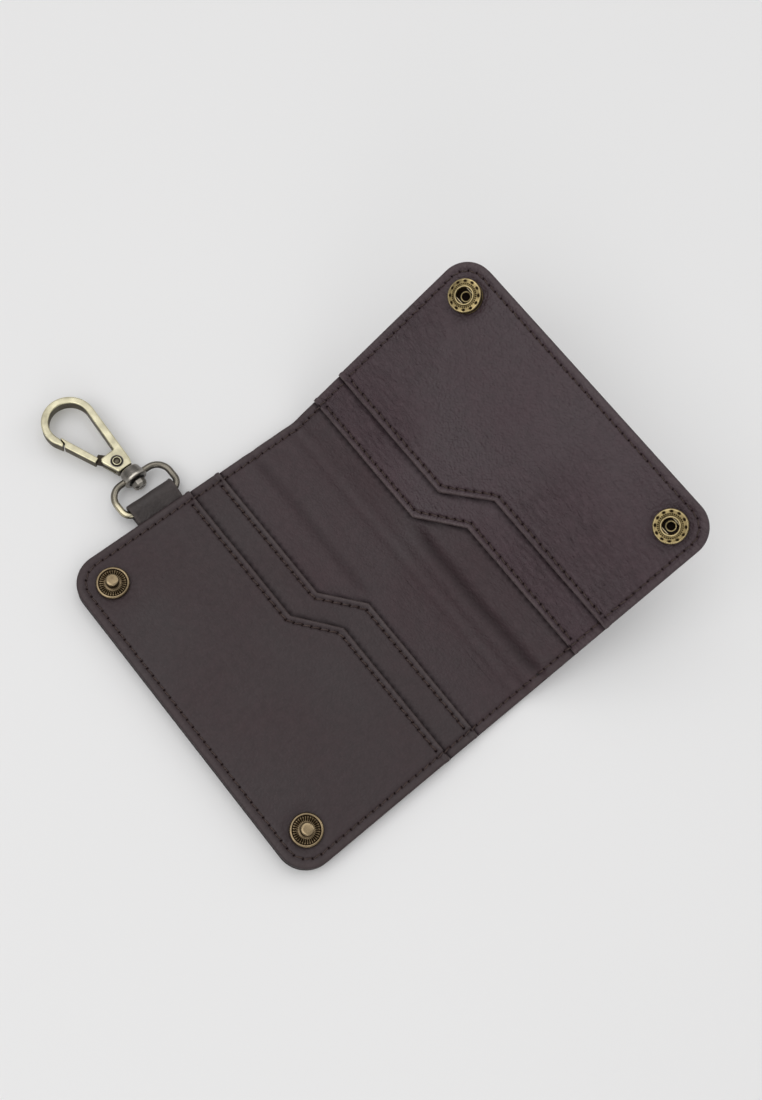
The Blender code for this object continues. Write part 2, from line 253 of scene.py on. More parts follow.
def lathe(profile, steps=64, closed=False, modulate=None):
    """Turns a profile of (radius, height) about Z. Points on the axis become one."""
    V, F, idx = [], [], []
    for r, z in profile:
        if r < 1e-6:
            idx.append([len(V)] * steps)
            V.append((0.0, 0.0, z))
        else:
            row = []
            for k in range(steps):
                t = 2 * math.pi * k / steps
                rr, zz = (r, z) if modulate is None else modulate(r, z, t)
                row.append(len(V))
                V.append((rr * math.cos(t), rr * math.sin(t), zz))
            idx.append(row)
    n = len(profile)
    for i in range(n if closed else n - 1):
        a, b = idx[i], idx[(i + 1) % n]
        for k in range(steps):
            l = (k + 1) % steps
            f = []
            for q in (a[k], a[l], b[l], b[k]):
                if q not in f:
                    f.append(q)
            if len(f) > 2:
                F.append(tuple(f))
    return np.array(V), F


def smooth_profile(points, r=0.15, n=3):
    """The profile with each inner corner rounded by a small arc."""
    P = [np.array(p, float) for p in points]
    out = [P[0]]
    for a, b, c in zip(P[:-2], P[1:-1], P[2:]):
        d1, d2 = np.linalg.norm(a - b), np.linalg.norm(c - b)
        k = min(r, 0.45 * d1, 0.45 * d2)
        s, e = b + (a - b) * k / max(d1, 1e-9), b + (c - b) * k / max(d2, 1e-9)
        for i in range(n + 1):
            t = i / n
            out.append((1 - t) ** 2 * s + 2 * t * (1 - t) * b + t * t * e)
    out.append(P[-1])
    return [tuple(p) for p in out]


def slab(outline, z0, z1, edge=0.5, step=0.8, n=4, dome=0.0):
    """A closed plate of this counter-clockwise outline, with rounded edges."""
    loop = dense(outline, step)
    t = np.linspace(0, math.pi / 2, n + 1)
    top = [(inset(loop, edge * (1 - math.cos(a))), z1 - edge * (1 - math.sin(a))) for a in t]
    bottom = [(inset(loop, edge * (1 - math.cos(a))), z0 + edge * (1 - math.sin(a))) for a in t]
    rows = [r for r in reversed(bottom)] + top
    s = Shape()
    m = len(loop)
    V = np.concatenate([np.c_[xy, np.full(m, z)] for xy, z in rows])
    F = []
    for i in range(len(rows) - 1):
        for k in range(m):
            l = (k + 1) % m
            F.append((i * m + k, i * m + l, (i + 1) * m + l, (i + 1) * m + k))
    s.add(V, F)
    for xy, z, up in ((rows[0][0], rows[0][1], False), (rows[-1][0], rows[-1][1], True)):
        pts, tris = triangulate(xy, [], [])
        s.add(np.c_[pts, np.full(len(pts), z)], tris if up else [t[::-1] for t in tris])
    return s


# =============================================================================
# materials
# =============================================================================
def new_material(name):
    m = bpy.data.materials.new(name)
    m.use_nodes = True
    nt = m.node_tree
    b = nt.nodes["Principled BSDF"]
    return m, nt, b


def node(nt, kind, **props):
    n = nt.nodes.new(kind)
    for k, v in props.items():
        setattr(n, k, v)
    return n


def put(n, **values):
    for k, v in values.items():
        n.inputs[k.replace("_", " ")].default_value = v
    return n


def ramp(nt, fac, stops):
    r = node(nt, "ShaderNodeValToRGB")
    e = r.color_ramp.elements
    while len(e) < len(stops):
        e.new(0.5)
    for el, (p, c) in zip(e, stops):
        el.position = p
        el.color = (*c, 1.0) if len(c) == 3 else c
    nt.links.new(fac, r.inputs["Fac"])
    return r.outputs["Color"]


def mixc(nt, fac, a, b, blend="MIX"):
    m = node(nt, "ShaderNodeMix", data_type="RGBA", blend_type=blend)
    for sock, val in ((m.inputs[0], fac), (m.inputs[6], a), (m.inputs[7], b)):
        if hasattr(val, "links"):
            nt.links.new(val, sock)
        else:
            sock.default_value = val if not isinstance(val, tuple) else (*val, 1.0)
    return m.outputs[2]


def math_(nt, op, a, b=None, clamp=False):
    m = node(nt, "ShaderNodeMath", operation=op, use_clamp=clamp)
    for i, v in enumerate((a, b)):
        if v is None:
            continue
        if hasattr(v, "links"):
            nt.links.new(v, m.inputs[i])
        else:
            m.inputs[i].default_value = v
    return m.outputs[0]


def remap(nt, v, a, b, c, d):
    m = node(nt, "ShaderNodeMapRange")
    nt.links.new(v, m.inputs[0])
    for i, x in enumerate((a, b, c, d)):
        m.inputs[i + 1].default_value = x
    return m.outputs[0]


def noise(nt, co, scale, detail=2.0, rough=0.5, distort=0.0):
    n = node(nt, "ShaderNodeTexNoise")
    put(n, Scale=scale, Detail=detail, Roughness=rough, Distortion=distort)
    nt.links.new(co, n.inputs["Vector"])
    return n.outputs["Fac"]


def voronoi(nt, co, scale, feature="F1", rand=1.0):
    n = node(nt, "ShaderNodeTexVoronoi", feature=feature)
    put(n, Scale=scale, Randomness=rand)
    nt.links.new(co, n.inputs["Vector"])
    return n.outputs["Distance"]


def bump(nt, height, strength, distance, prev=None):
    b = node(nt, "ShaderNodeBump")
    put(b, Strength=strength, Distance=distance)
    nt.links.new(height, b.inputs["Height"])
    if prev is not None:
        nt.links.new(prev, b.inputs["Normal"])
    return b.outputs["Normal"]


def coords(nt, scale=(1, 1, 1), rot=(0, 0, 0)):
    tc = node(nt, "ShaderNodeTexCoord")
    mp = node(nt, "ShaderNodeMapping")
    mp.inputs["Scale"].default_value = scale
    mp.inputs["Rotation"].default_value = rot
    nt.links.new(tc.outputs["Object"], mp.inputs["Vector"])
    return mp.outputs["Vector"]


def leather(name, low, high, worn_and_lit, rough=(0.42, 0.60), grain=0.22, wrinkle=0.25, spec=0.5, coat=0.0):
    """Fine-grained waxed leather: pebbled grain, long soft wrinkles, mottled dye and lighter worn edges. Positive
    vertex values also paint highlights; negative ones paint shade, darker and less shiny.
    """
    m, nt, b = new_material(name)
    co = coords(nt)
    mottled = noise(nt, co, 38.0, 4.0, 0.55)
    fine = noise(nt, co, 420.0, 3.0, 0.6)
    cells = voronoi(nt, co, 1500.0, "SMOOTH_F1")
    pores = voronoi(nt, co, 620.0)
    long_co = coords(nt, (1.0, 0.36, 1.0), (0, 0, math.radians(24)))
    crease = noise(nt, long_co, 760.0, 5.0, 0.62, 0.9)
    patch = noise(nt, co, 22.0, 2.0, 0.5)
    base = ramp(nt, mottled, [(0.32, low), (0.68, high)])
    speck = ramp(nt, fine, [(0.35, (0.86, 0.86, 0.86)), (0.75, (1.12, 1.12, 1.12))])
    base = mixc(nt, 1.0, base, speck, "MULTIPLY")
    w = node(nt, "ShaderNodeAttribute", attribute_name="wear_and_painted_light", attribute_type="GEOMETRY")
    # positive values: lighter worn edges, and painted highlights along the pocket lips
    wear_and_highlight_mask = math_(nt, "MULTIPLY", w.outputs["Fac"], remap(nt, fine, 0.3, 0.7, 0.55, 1.0), clamp=True)
    base = mixc(nt, wear_and_highlight_mask, base, worn_and_lit)
    # negative values: painted shade, the colour darkened and the sheen taken away
    dark = math_(nt, "MULTIPLY", w.outputs["Fac"], -1.0, clamp=True)
    base = mixc(nt, dark, base, tuple(c * 0.35 for c in low))
    nt.links.new(base, b.inputs["Base Color"])
    r = remap(nt, mottled, 0.3, 0.7, rough[0], rough[1])
    r = math_(nt, "ADD", r, remap(nt, cells, 0.0, 0.6, -0.04, 0.07), clamp=True)
    nt.links.new(r, b.inputs["Roughness"])
    shine = math_(nt, "SUBTRACT", spec, math_(nt, "MULTIPLY", dark, spec * 0.85))
    nt.links.new(shine, b.inputs["Specular IOR Level"])
    if coat:
        b.inputs["Coat Weight"].default_value = coat
        b.inputs["Coat Roughness"].default_value = 0.35
    wr = math_(nt, "MULTIPLY", crease, remap(nt, patch, 0.45, 0.62, 0.15, 1.0))
    nrm = bump(nt, wr, wrinkle, 0.0009)
    nrm = bump(nt, cells, grain, 0.00035, nrm)
    nrm = bump(nt, pores, grain * 0.5, 0.0002, nrm)
    nt.links.new(nrm, b.inputs["Normal"])
    return m


def edge_leather(name, low, high):
    """The burnished, dyed edge and the flesh side inside."""
    m, nt, b = new_material(name)
    co = coords(nt)
    layered = noise(nt, coords(nt, (1, 1, 6.0)), 240.0, 4.0, 0.6)
    fine = noise(nt, co, 900.0, 3.0, 0.6)
    nt.links.new(ramp(nt, layered, [(0.3, low), (0.7, high)]), b.inputs["Base Color"])
    nt.links.new(remap(nt, fine, 0.3, 0.7, 0.42, 0.66), b.inputs["Roughness"])
    b.inputs["Specular IOR Level"].default_value = 0.16
    nt.links.new(bump(nt, fine, 0.3, 0.0002, bump(nt, layered, 0.35, 0.0005)), b.inputs["Normal"])
    return m


def thread_material(name, low, high):
    """Waxed twisted thread: plies as a fine diagonal bump."""
    m, nt, b = new_material(name)
    wave = node(nt, "ShaderNodeTexWave", wave_type="BANDS", bands_direction="DIAGONAL")
    put(wave, Scale=900.0, Distortion=0.6, Detail=1.0)
    co = coords(nt)
    nt.links.new(co, wave.inputs["Vector"])
    fuzz = noise(nt, co, 1800.0, 2.0, 0.6)
    nt.links.new(mixc(nt, remap(nt, fuzz, 0.3, 0.7, 0.0, 1.0), low, high), b.inputs["Base Color"])
    nt.links.new(remap(nt, fuzz, 0.3, 0.7, 0.5, 0.75), b.inputs["Roughness"])
    nt.links.new(bump(nt, fuzz, 0.25, 0.0001, bump(nt, wave.outputs["Fac"], 0.6, 0.00015)), b.inputs["Normal"])
    return m


def metal(name, base, dark, bright, rough=(0.22, 0.42), grime=0.45, brush=0.12, scale=1.0):
    """Antiqued plating: mottled toned patina, darkened where the vertex values are negative (painted shade on side
    walls and in recesses), rubbed bright where they are positive (wear and painted highlights), faint scratches and
    pits.
    """
    m, nt, b = new_material(name)
    co = coords(nt)
    cloud = noise(nt, co, 210.0 * scale, 5.0, 0.62)
    pits = voronoi(nt, co, 2100.0 * scale)
    streak = noise(nt, coords(nt, (1.0, 9.0, 1.0), (0, 0, math.radians(33))), 900.0 * scale, 3.0, 0.55)
    w = node(nt, "ShaderNodeAttribute", attribute_name="wear_and_painted_light", attribute_type="GEOMETRY")
    c = ramp(nt, cloud, [(0.30, tuple(base[i] * (1 - grime) + dark[i] * grime for i in range(3))), (0.62, base)])
    # positive values: rubbed wear, and painted highlights on rims, edges and bands
    rub_and_highlight = math_(nt, "MULTIPLY", w.outputs["Fac"], remap(nt, cloud, 0.3, 0.65, 0.6, 1.0), clamp=True)
    c = mixc(nt, rub_and_highlight, c, bright)
    # negative values: painted shade on side walls and in recesses
    low = math_(nt, "MULTIPLY", w.outputs["Fac"], -1.0, clamp=True)
    c = mixc(nt, low, c, dark)
    nt.links.new(c, b.inputs["Base Color"])
    b.inputs["Metallic"].default_value = 1.0
    r = remap(nt, cloud, 0.3, 0.7, rough[1], rough[0])
    r = math_(nt, "ADD", r, remap(nt, streak, 0.3, 0.7, -0.05, 0.08))
    r = math_(nt, "ADD", r, math_(nt, "MULTIPLY", low, 0.25), clamp=True)
    nt.links.new(r, b.inputs["Roughness"])
    n1 = bump(nt, streak, brush, 0.00008)
    n2 = bump(nt, pits, brush * 0.6, 0.00006, n1)
    nt.links.new(bump(nt, cloud, 0.10, 0.0002, n2), b.inputs["Normal"])
    return m


PANEL = leather("leather_inner", (0.0258, 0.0146, 0.0163), (0.0345, 0.0196, 0.0219), (0.078, 0.058, 0.057), spec=0.40)
# painted light: the right pockets take a lighter copy of the inner leather for the light the raised cover catches, with
# stronger wrinkles and grain
PANEL_R = leather("leather_inner_right_lit", (0.0375, 0.0205, 0.0255), (0.0510, 0.0278, 0.0345), (0.104, 0.078, 0.078), spec=0.46, wrinkle=0.95, grain=0.60)
PANEL_M = leather("leather_inner_fold", (0.0290, 0.0150, 0.0180), (0.0400, 0.0210, 0.0248), (0.090, 0.066, 0.064), spec=0.42, wrinkle=0.35, grain=0.30)
HIDE = leather("leather_outer", (0.0235, 0.0150, 0.0160), (0.0320, 0.0205, 0.0220), (0.064, 0.049, 0.048), grain=0.35, spec=0.42)
STRAP = leather("leather_tab", (0.0355, 0.0285, 0.0275), (0.0490, 0.0390, 0.0375), (0.066, 0.052, 0.048), rough=(0.5, 0.66), grain=0.5, spec=0.42)
EDGE = edge_leather("leather_edge", (0.010, 0.0080, 0.0078), (0.024, 0.018, 0.0175))
# painted shade: a near-black matte colour for the bottom of the eyelet
EYELET_SHADE, _nt, _b = new_material("hole_dark")
_nt.links.new(ramp(_nt, noise(_nt, coords(_nt), 900.0, 3.0, 0.6), [(0.3, (0.003, 0.002, 0.0015)), (0.7, (0.010, 0.006, 0.004))]), _b.inputs["Base Color"])
_b.inputs["Roughness"].default_value = 0.8
_b.inputs["Specular IOR Level"].default_value = 0.05
THREAD = thread_material("thread_waxed", (0.026, 0.0135, 0.0115), (0.060, 0.035, 0.029))
PALE = metal("brass_pale", (0.47, 0.435, 0.315), (0.050, 0.040, 0.030), (0.87, 0.82, 0.56), rough=(0.22, 0.40), grime=0.45)
GOLD = metal("brass_antique", (0.250, 0.192, 0.088), (0.018, 0.011, 0.006), (0.56, 0.45, 0.24), rough=(0.20, 0.38), grime=0.72)
BRONZE = metal("bronze_antique", (0.20, 0.150, 0.090), (0.018, 0.011, 0.006), (0.42, 0.325, 0.195), rough=(0.20, 0.36), grime=0.5)
DARK = metal("gunmetal", (0.25, 0.232, 0.208), (0.024, 0.021, 0.019), (0.66, 0.62, 0.54), rough=(0.20, 0.36), grime=0.5)
SILVER = metal("ring_plating", (0.165, 0.150, 0.134), (0.022, 0.018, 0.015), (0.64, 0.58, 0.40), rough=(0.18, 0.32), grime=0.4)
WIRE = metal("spring_wire", (0.36, 0.28, 0.15), (0.05, 0.03, 0.015), (0.8, 0.7, 0.5), rough=(0.18, 0.3), grime=0.3)

# =============================================================================
# the leather body, in flat coordinates: u from the spine's centre, y along it
# =============================================================================
def smoothstep(t):
    t = np.clip(t, 0, 1)
    return t * t * (3 - 2 * t)


def to_left(P):
    return P * np.array([-1.0, 1.0, 1.0])


def to_right(P):
    """Turns the flat right side up about its fold line, with a soft bend."""
    a = smoothstep((P[:, 0] - (FOLD - BEND)) / (2 * BEND)) * RAISE
    dx, dz = P[:, 0] - FOLD, P[:, 2] - HINGE_Z
    return np.c_[
        FOLD + dx * np.cos(a) - dz * np.sin(a),
        P[:, 1],
        HINGE_Z + dx * np.sin(a) + dz * np.cos(a),
    ]


MOVE = {"left": to_left, "right": to_right}
H2 = HEIGHT / 2


def lip_line(side, which, out=0.0):
    """The pocket's edge from +y to -y."""
    near, far, y_hi, y_lo = LIPS[side, which]
    if side == "left":
        pts = [(far, H2), (far, y_hi), (near, y_lo), (near, -H2)]
    else:
        pts = [(near, H2), (near, y_hi), (far, y_lo), (far, -H2)]
    if not out:
        return pts
    res = []
    for i, p in enumerate(pts):
        ds = []
        if i > 0:
            ds.append(np.subtract(p, pts[i - 1]))
        if i < len(pts) - 1:
            ds.append(np.subtract(pts[i + 1], p))
        ns = [unit(np.array([-d[1], d[0]])) for d in ds]
        mv = unit(sum(ns))
        res.append(tuple(np.array(p) + mv * out / (mv @ ns[0])))
    return res


def lip_at(side, which, y):
    """Distance of the pocket's edge from the spine's centre at each y."""
    line = lip_line(side, which)
    ys = [p[1] for p in line][::-1]
    us = [p[0] for p in line][::-1]
    return np.interp(y, ys, us)


def edge_distance(P, ins=0.0):
    """Inward distance from the cover's outer edge."""
    r = CORNER - ins
    q = np.c_[P[:, 0] - (REACH - ins - r), np.abs(P[:, 1]) - (H2 - ins - r)]
    return r - (np.hypot(np.maximum(q[:, 0], 0), np.maximum(q[:, 1], 0)) + np.minimum(q.max(1), 0))


WAVES = [
    (0.21, 0.05, 0.3, 1.0), (-0.09, 0.24, 1.9, 0.9), (0.33, -0.17, 4.1, 0.6),
    (0.13, 0.41, 2.2, 0.5), (-0.47, 0.22, 5.3, 0.35), (0.61, 0.38, 0.9, 0.25),
]


def swell(u, y, phase):
    """Slow unevenness of hand-worked leather, about -1 to 1."""
    s = np.zeros(len(u))
    for kx, ky, p, a in WAVES:
        s += a * np.sin(kx * u + ky * y + p + phase)
    return s / 2.2


def gauss(x, s):
    return np.exp(-((x / s) ** 2))


def relief(P, side, layer):
    """Height added to a layer's flat top: grooves, beads, creases, dents and the puff of each pocket."""
    u, y = P[:, 0], P[:, 1]
    e = edge_distance(P)
    z = 0.07 * swell(u, y, {"left": 0.0, "right": 2.4}[side] + {"lining": 0, "lower": 1.1, "upper": 2.3}[layer]) * smoothstep((e - 1.5) / 6)
    z += -0.20 * gauss(e - STITCH_IN, 0.42) + 0.10 * gauss(e - 1.25, 0.65) + 0.05 * gauss(e - 3.6, 0.5)
    if layer != "lining":
        d = dist_line(P, lip_line(side, layer))
        z += 0.34 * gauss(d - 0.60, 0.46) - 0.22 * gauss(d - LIP_STITCH, 0.42) + 0.06 * gauss(d - 2.9, 0.6)
        open_ = np.clip(1 - (y / (H2 - 1.5)) ** 2, 0, 1)
        z += (0.22 if layer == "lower" else 0.30) * open_ * np.exp(-d / 6.5)
        # a pocket's leather hangs a little slack between its seams
        z += 0.16 * open_ * gauss(d - 7.0, 3.0)
    if layer == "upper":
        mid = gauss((u - 56) / 20, 1.0) * np.clip(1 - (y / (H2 - 3)) ** 2, 0, 1)
        z += 0.35 * mid
        for s in (1, -1):
            r = np.hypot(u - SNAP_U, y - s * SNAP_Y)
            z += -0.28 * gauss(r - 4.6, 1.5) + 0.10 * gauss(r - 7.6, 1.4)
            t = np.arctan2(y - s * SNAP_Y, u - SNAP_U)
            z += 0.035 * np.sin(5 * t + 0.8 * s) * gauss(r - 6.6, 1.6)
    if layer == "lining":
        # the soft creases beside the fold, where the covers bend
        run = smoothstep((8.0 - y) / 9.0) if side == "right" else smoothstep((y + 6.0) / 9.0)
        wob = 0.22 * np.sin(0.11 * y + 0.7) + 0.10 * np.sin(0.31 * y)
        at = 11.9 if side == "right" else 11.3
        deep = 0.72 if side == "right" else 0.34
        z += run * (-deep * gauss(u - at - wob, 1.45) + 0.20 * deep * gauss(u - at + 3.4 - wob, 1.7) + 0.22 * deep * gauss(u - at - 3.2, 1.5))
        z += -0.05 * gauss(u - FOLD, 2.6)
    return z


def snap_holes():
    return []


def stitch_points(line, first=0.0, pitch=PITCH):
    """Even points along a polyline, from its start."""
    P = np.array(line, float)
    seg = np.linalg.norm(np.diff(P, axis=0), axis=1)
    s = np.concatenate([[0], np.cumsum(seg)])
    n = int((s[-1] - first) / pitch + 1e-6)
    t = first + pitch * np.arange(n + 1)
    return np.c_[np.interp(t, s, P[:, 0]), np.interp(t, s, P[:, 1])]


def perimeter_line(ins=STITCH_IN, start=0.0):
    r = CORNER - ins
    h, u1 = H2 - ins, REACH - ins
    return [(start, -h)] + arc(u1 - r, -h + r, r, -90, 0, 16) + arc(u1 - r, h - r, r, 0, 90, 16) + [(start, h)]


SEAMS = {}
for side in ("left", "right"):
    line = perimeter_line()
    total = float(np.linalg.norm(np.diff(np.array(line), axis=0), axis=1).sum())
    count = int(round((total - PITCH) / PITCH))
    pitch = (total - PITCH) / count
    SEAMS[side, "cover"] = stitch_points(line, PITCH / 2, pitch)[: count + 1]
    for which in ("lower", "upper"):
        line = lip_line(side, which, LIP_STITCH)
        line = [(line[0][0], H2 - STITCH_IN - 1.7)] + line[1:-1] + [(line[-1][0], -H2 + STITCH_IN + 1.7)]
        total = float(np.linalg.norm(np.diff(np.array(line), axis=0), axis=1).sum())
        count = int(round(total / PITCH))
        SEAMS[side, which] = stitch_points(line, 0.0, total / count)


def layer_of(side, P):
    """The layer on top at each point: 0 lining, 1 lower pocket, 2 upper pocket."""
    low = P[:, 0] > lip_at(side, "lower", P[:, 1])
    up = P[:, 0] > lip_at(side, "upper", P[:, 1])
    return low.astype(int) + up.astype(int)


LAYER_NAMES = ("lining", "lower", "upper")
LAYER_TOP = {"lining": LINING[1], "lower": LOWER[1], "upper": UPPER[1]}


def top_height(side, P):
    which = layer_of(side, P)
    z = np.zeros(len(P))
    for i, name in enumerate(LAYER_NAMES):
        k = which == i
        if k.any():
            z[k] = LAYER_TOP[name] + relief(P[k], side, name)
    return z


def rounding(d, R):
    a = np.clip((R - d) / R, 0, 1)
    return a


def panel(side, layer, outline, zb, ztop, R, ins, lip=None, holes=(), g=1.5, hidden=None, mats=(0, 1)):
    """One layer of leather as a closed solid: dense worked top, rounded edges, plain underside."""
    loop = dense(outline, 0.9)
    rims = [R * f for f in (0.05, 0.2, 0.45, 0.75, 1.0)]
    rings = [inset(loop, d) for d in rims]
    bands = [1.25, 1.65, 1.95, 2.3, 2.64, 3.0, 3.5, 4.3]
    soft = [dense(inset(loop, d), 1.0) for d in bands]
    lo, hi = loop.min(0), loop.max(0)
    gx = np.arange(lo[0], hi[0], g)
    gy = np.arange(lo[1], hi[1], g * 0.866)
    X, Y = np.meshgrid(gx, gy)
    X = X + (np.arange(len(gy)) % 2)[:, None] * g / 2
    grid = np.c_[X.ravel(), Y.ravel()]
    limit = inset(loop, 4.9)
    grid = grid[inside(grid, limit)]
    pts = np.concatenate(soft + [grid])
    pts = pts[inside(pts, inset(loop, R + 0.2))]
    if hidden is not None:
        keep = ~hidden(pts) | ((np.round(pts[:, 0] / g) % 4 == 0) & (np.round(pts[:, 1] / (g * 0.866)) % 4 == 0))
        pts = pts[keep]
    centres = np.zeros((0, 2))
    if len(holes):
        centres = np.asarray(holes)
        far = np.ones(len(pts), bool)
        for c in centres:
            far &= ((pts - c) ** 2).sum(1) > 0.72 ** 2
        pts = pts[far]
        a = np.linspace(0, 2 * math.pi, 8, endpoint=False)
        extra = [centres]
        for r in (0.19, 0.34, 0.52):
            extra.append((centres[:, None, :] + r * np.c_[np.cos(a), np.sin(a)][None]).reshape(-1, 2))
        pts = np.concatenate([pts] + extra)
    V, F = triangulate(loop, rings, pts)
    e = edge_distance(V, ins)
    a = rounding(e, R)
    wear_and_painted_light = 0.34 * gauss(edge_distance(V) - 0.9, 0.6)
    if lip is not None:
        dl = dist_line(V, lip)
        a2 = rounding(dl, R)
        a = np.sqrt(a ** 2 + a2 ** 2)
        # painted highlight: a bright line along the pocket lip's rounded bead
        wear_and_painted_light = np.maximum(wear_and_painted_light, 1.0 * gauss(dl - 0.30, 0.32))
    drop = R * (1 - np.sqrt(np.clip(1 - np.clip(a, 0, 1) ** 2, 0, 1)))
    z = ztop + relief(V, side, layer) - drop
    if layer == "lining":
        # painted shade: darker along the two creases
        ready = smoothstep((8.0 - V[:, 1]) / 9.0) if side == "right" else smoothstep((V[:, 1] + 6.0) / 9.0)
        at = (11.9 if side == "right" else 11.3) + 0.22 * np.sin(0.11 * V[:, 1] + 0.7) + 0.10 * np.sin(0.31 * V[:, 1])
        wear_and_painted_light = wear_and_painted_light - (0.50 if side == "right" else 0.26) * ready * gauss(V[:, 0] - at, 1.7) * smoothstep((e - 2.0) / 4.0)
    above = {"lining": "lower", "lower": "upper"}.get(layer)
    if above:
        # painted shade: darker in the corner under the next pocket's edge, pressed into a shallow groove
        near = gauss(dist_line(V, lip_line(side, above)), 0.80)
        wear_and_painted_light = np.where(near > 0.05, wear_and_painted_light * (1 - near) - 1.0 * near, wear_and_painted_light)
        z -= 0.16 * near
    for c in centres:
        r = np.hypot(V[:, 0] - c[0], V[:, 1] - c[1])
        k = r < 0.9
        # the needle is finer along the outer edge than along the pockets
        fineness = 0.74 if edge_distance(c[None])[0] < STITCH_IN + 0.5 else 1.0
        z[k] += -0.80 * gauss(r[k], 0.30 * fineness)
        # painted shade in the needle hole
        wear_and_painted_light[k] = np.minimum(wear_and_painted_light[k], -1.0 * gauss(r[k], 0.40 * fineness))
    s = Shape()
    # a pocket's folded ends stand a little proud of the cover's edge
    W = V.copy()
    if lip is not None:
        k = np.abs(W[:, 1]) > H2 - 3
        at = lip_at(side, layer, W[:, 1])
        W[k, 1] += np.sign(W[k, 1]) * 0.13 * gauss(W[k, 0] - at[k] - 0.8, 0.9) * smoothstep((np.abs(W[k, 1]) - (H2 - 3)) / 3)
    s.add(np.c_[W, z], F, mats[0], wear_and_painted_light)
    # underside: a coarse copy of the outline
    base = inset(loop, 0.25)
    under_pts = grid[inside(grid, inset(loop, 5))]
    under_pts = under_pts[(np.round(under_pts[:, 0] / g) % 3 == 0)]
    under_pts = under_pts[(np.round(under_pts[:, 1] / (g * 0.866)) % 3 == 0)]
    if layer == "lining":
        fold = np.array([(x, y) for x in np.arange(0.5, 9.6, 0.75) for y in np.arange(-H2 + 1.0, H2 - 0.9, 3.0)])
        under_pts = np.concatenate([under_pts[under_pts[:, 0] > 10.2], fold[inside(fold, inset(base, 0.3))]])
    U, FU = triangulate(base, [], under_pts)
    m = len(loop)
    zb_ = np.full(len(U), zb)
    s.add(np.c_[U, zb_], [f[::-1] for f in FU], mats[1], np.full(len(U), -0.4))
    # the wall between them, sharing both outlines
    rim_z = z[:m]
    rows = [np.c_[W[:m], rim_z]]
    for f in (0.35, 0.7):
        rows.append(np.c_[W[:m], rim_z * (1 - f) + (zb + 0.12) * f])
    rows.append(np.c_[W[:m], np.full(m, zb + 0.12)])
    rows.append(np.c_[base, np.full(m, zb)])
    VV = np.concatenate(rows)
    FF = []
    for i in range(len(rows) - 1):
        for k in range(m):
            l = (k + 1) % m
            FF.append((i * m + l, i * m + k, (i + 1) * m + k, (i + 1) * m + l))
    s.add(VV, FF, mats[1])
    return s


def cover_loop(ins, start, graded=1.0):
    """Counter-clockwise outline from the fold side round the outer corners."""
    h, u1, r = H2 - ins, REACH - ins, CORNER - ins
    pts = [(start, -h)] + arc(u1 - r, -h + r, r, -90, 0, 14) + arc(u1 - r, h - r, r, 0, 90, 14) + [(start, h)]
    for f in (0.05, 0.2, 0.45, 0.75, 1.0, 1.65, 2.3, 2.64, 3.0):
        pts.append((start, h - f * graded))
    for f in (3.0, 2.64, 2.3, 1.65, 1.0, 0.75, 0.45, 0.2, 0.05):
        pts.append((start, -h + f * graded))
    return pts


def pocket_loop(side, which, ins):
    h, u1, r = H2 - ins, REACH - ins, CORNER - ins
    line = lip_line(side, which)
    line = [(line[0][0], h)] + line[1:-1] + [(line[-1][0], -h)]
    return line + arc(u1 - r, -h + r, r, -90, 0, 14) + arc(u1 - r, h - r, r, 0, 90, 14)


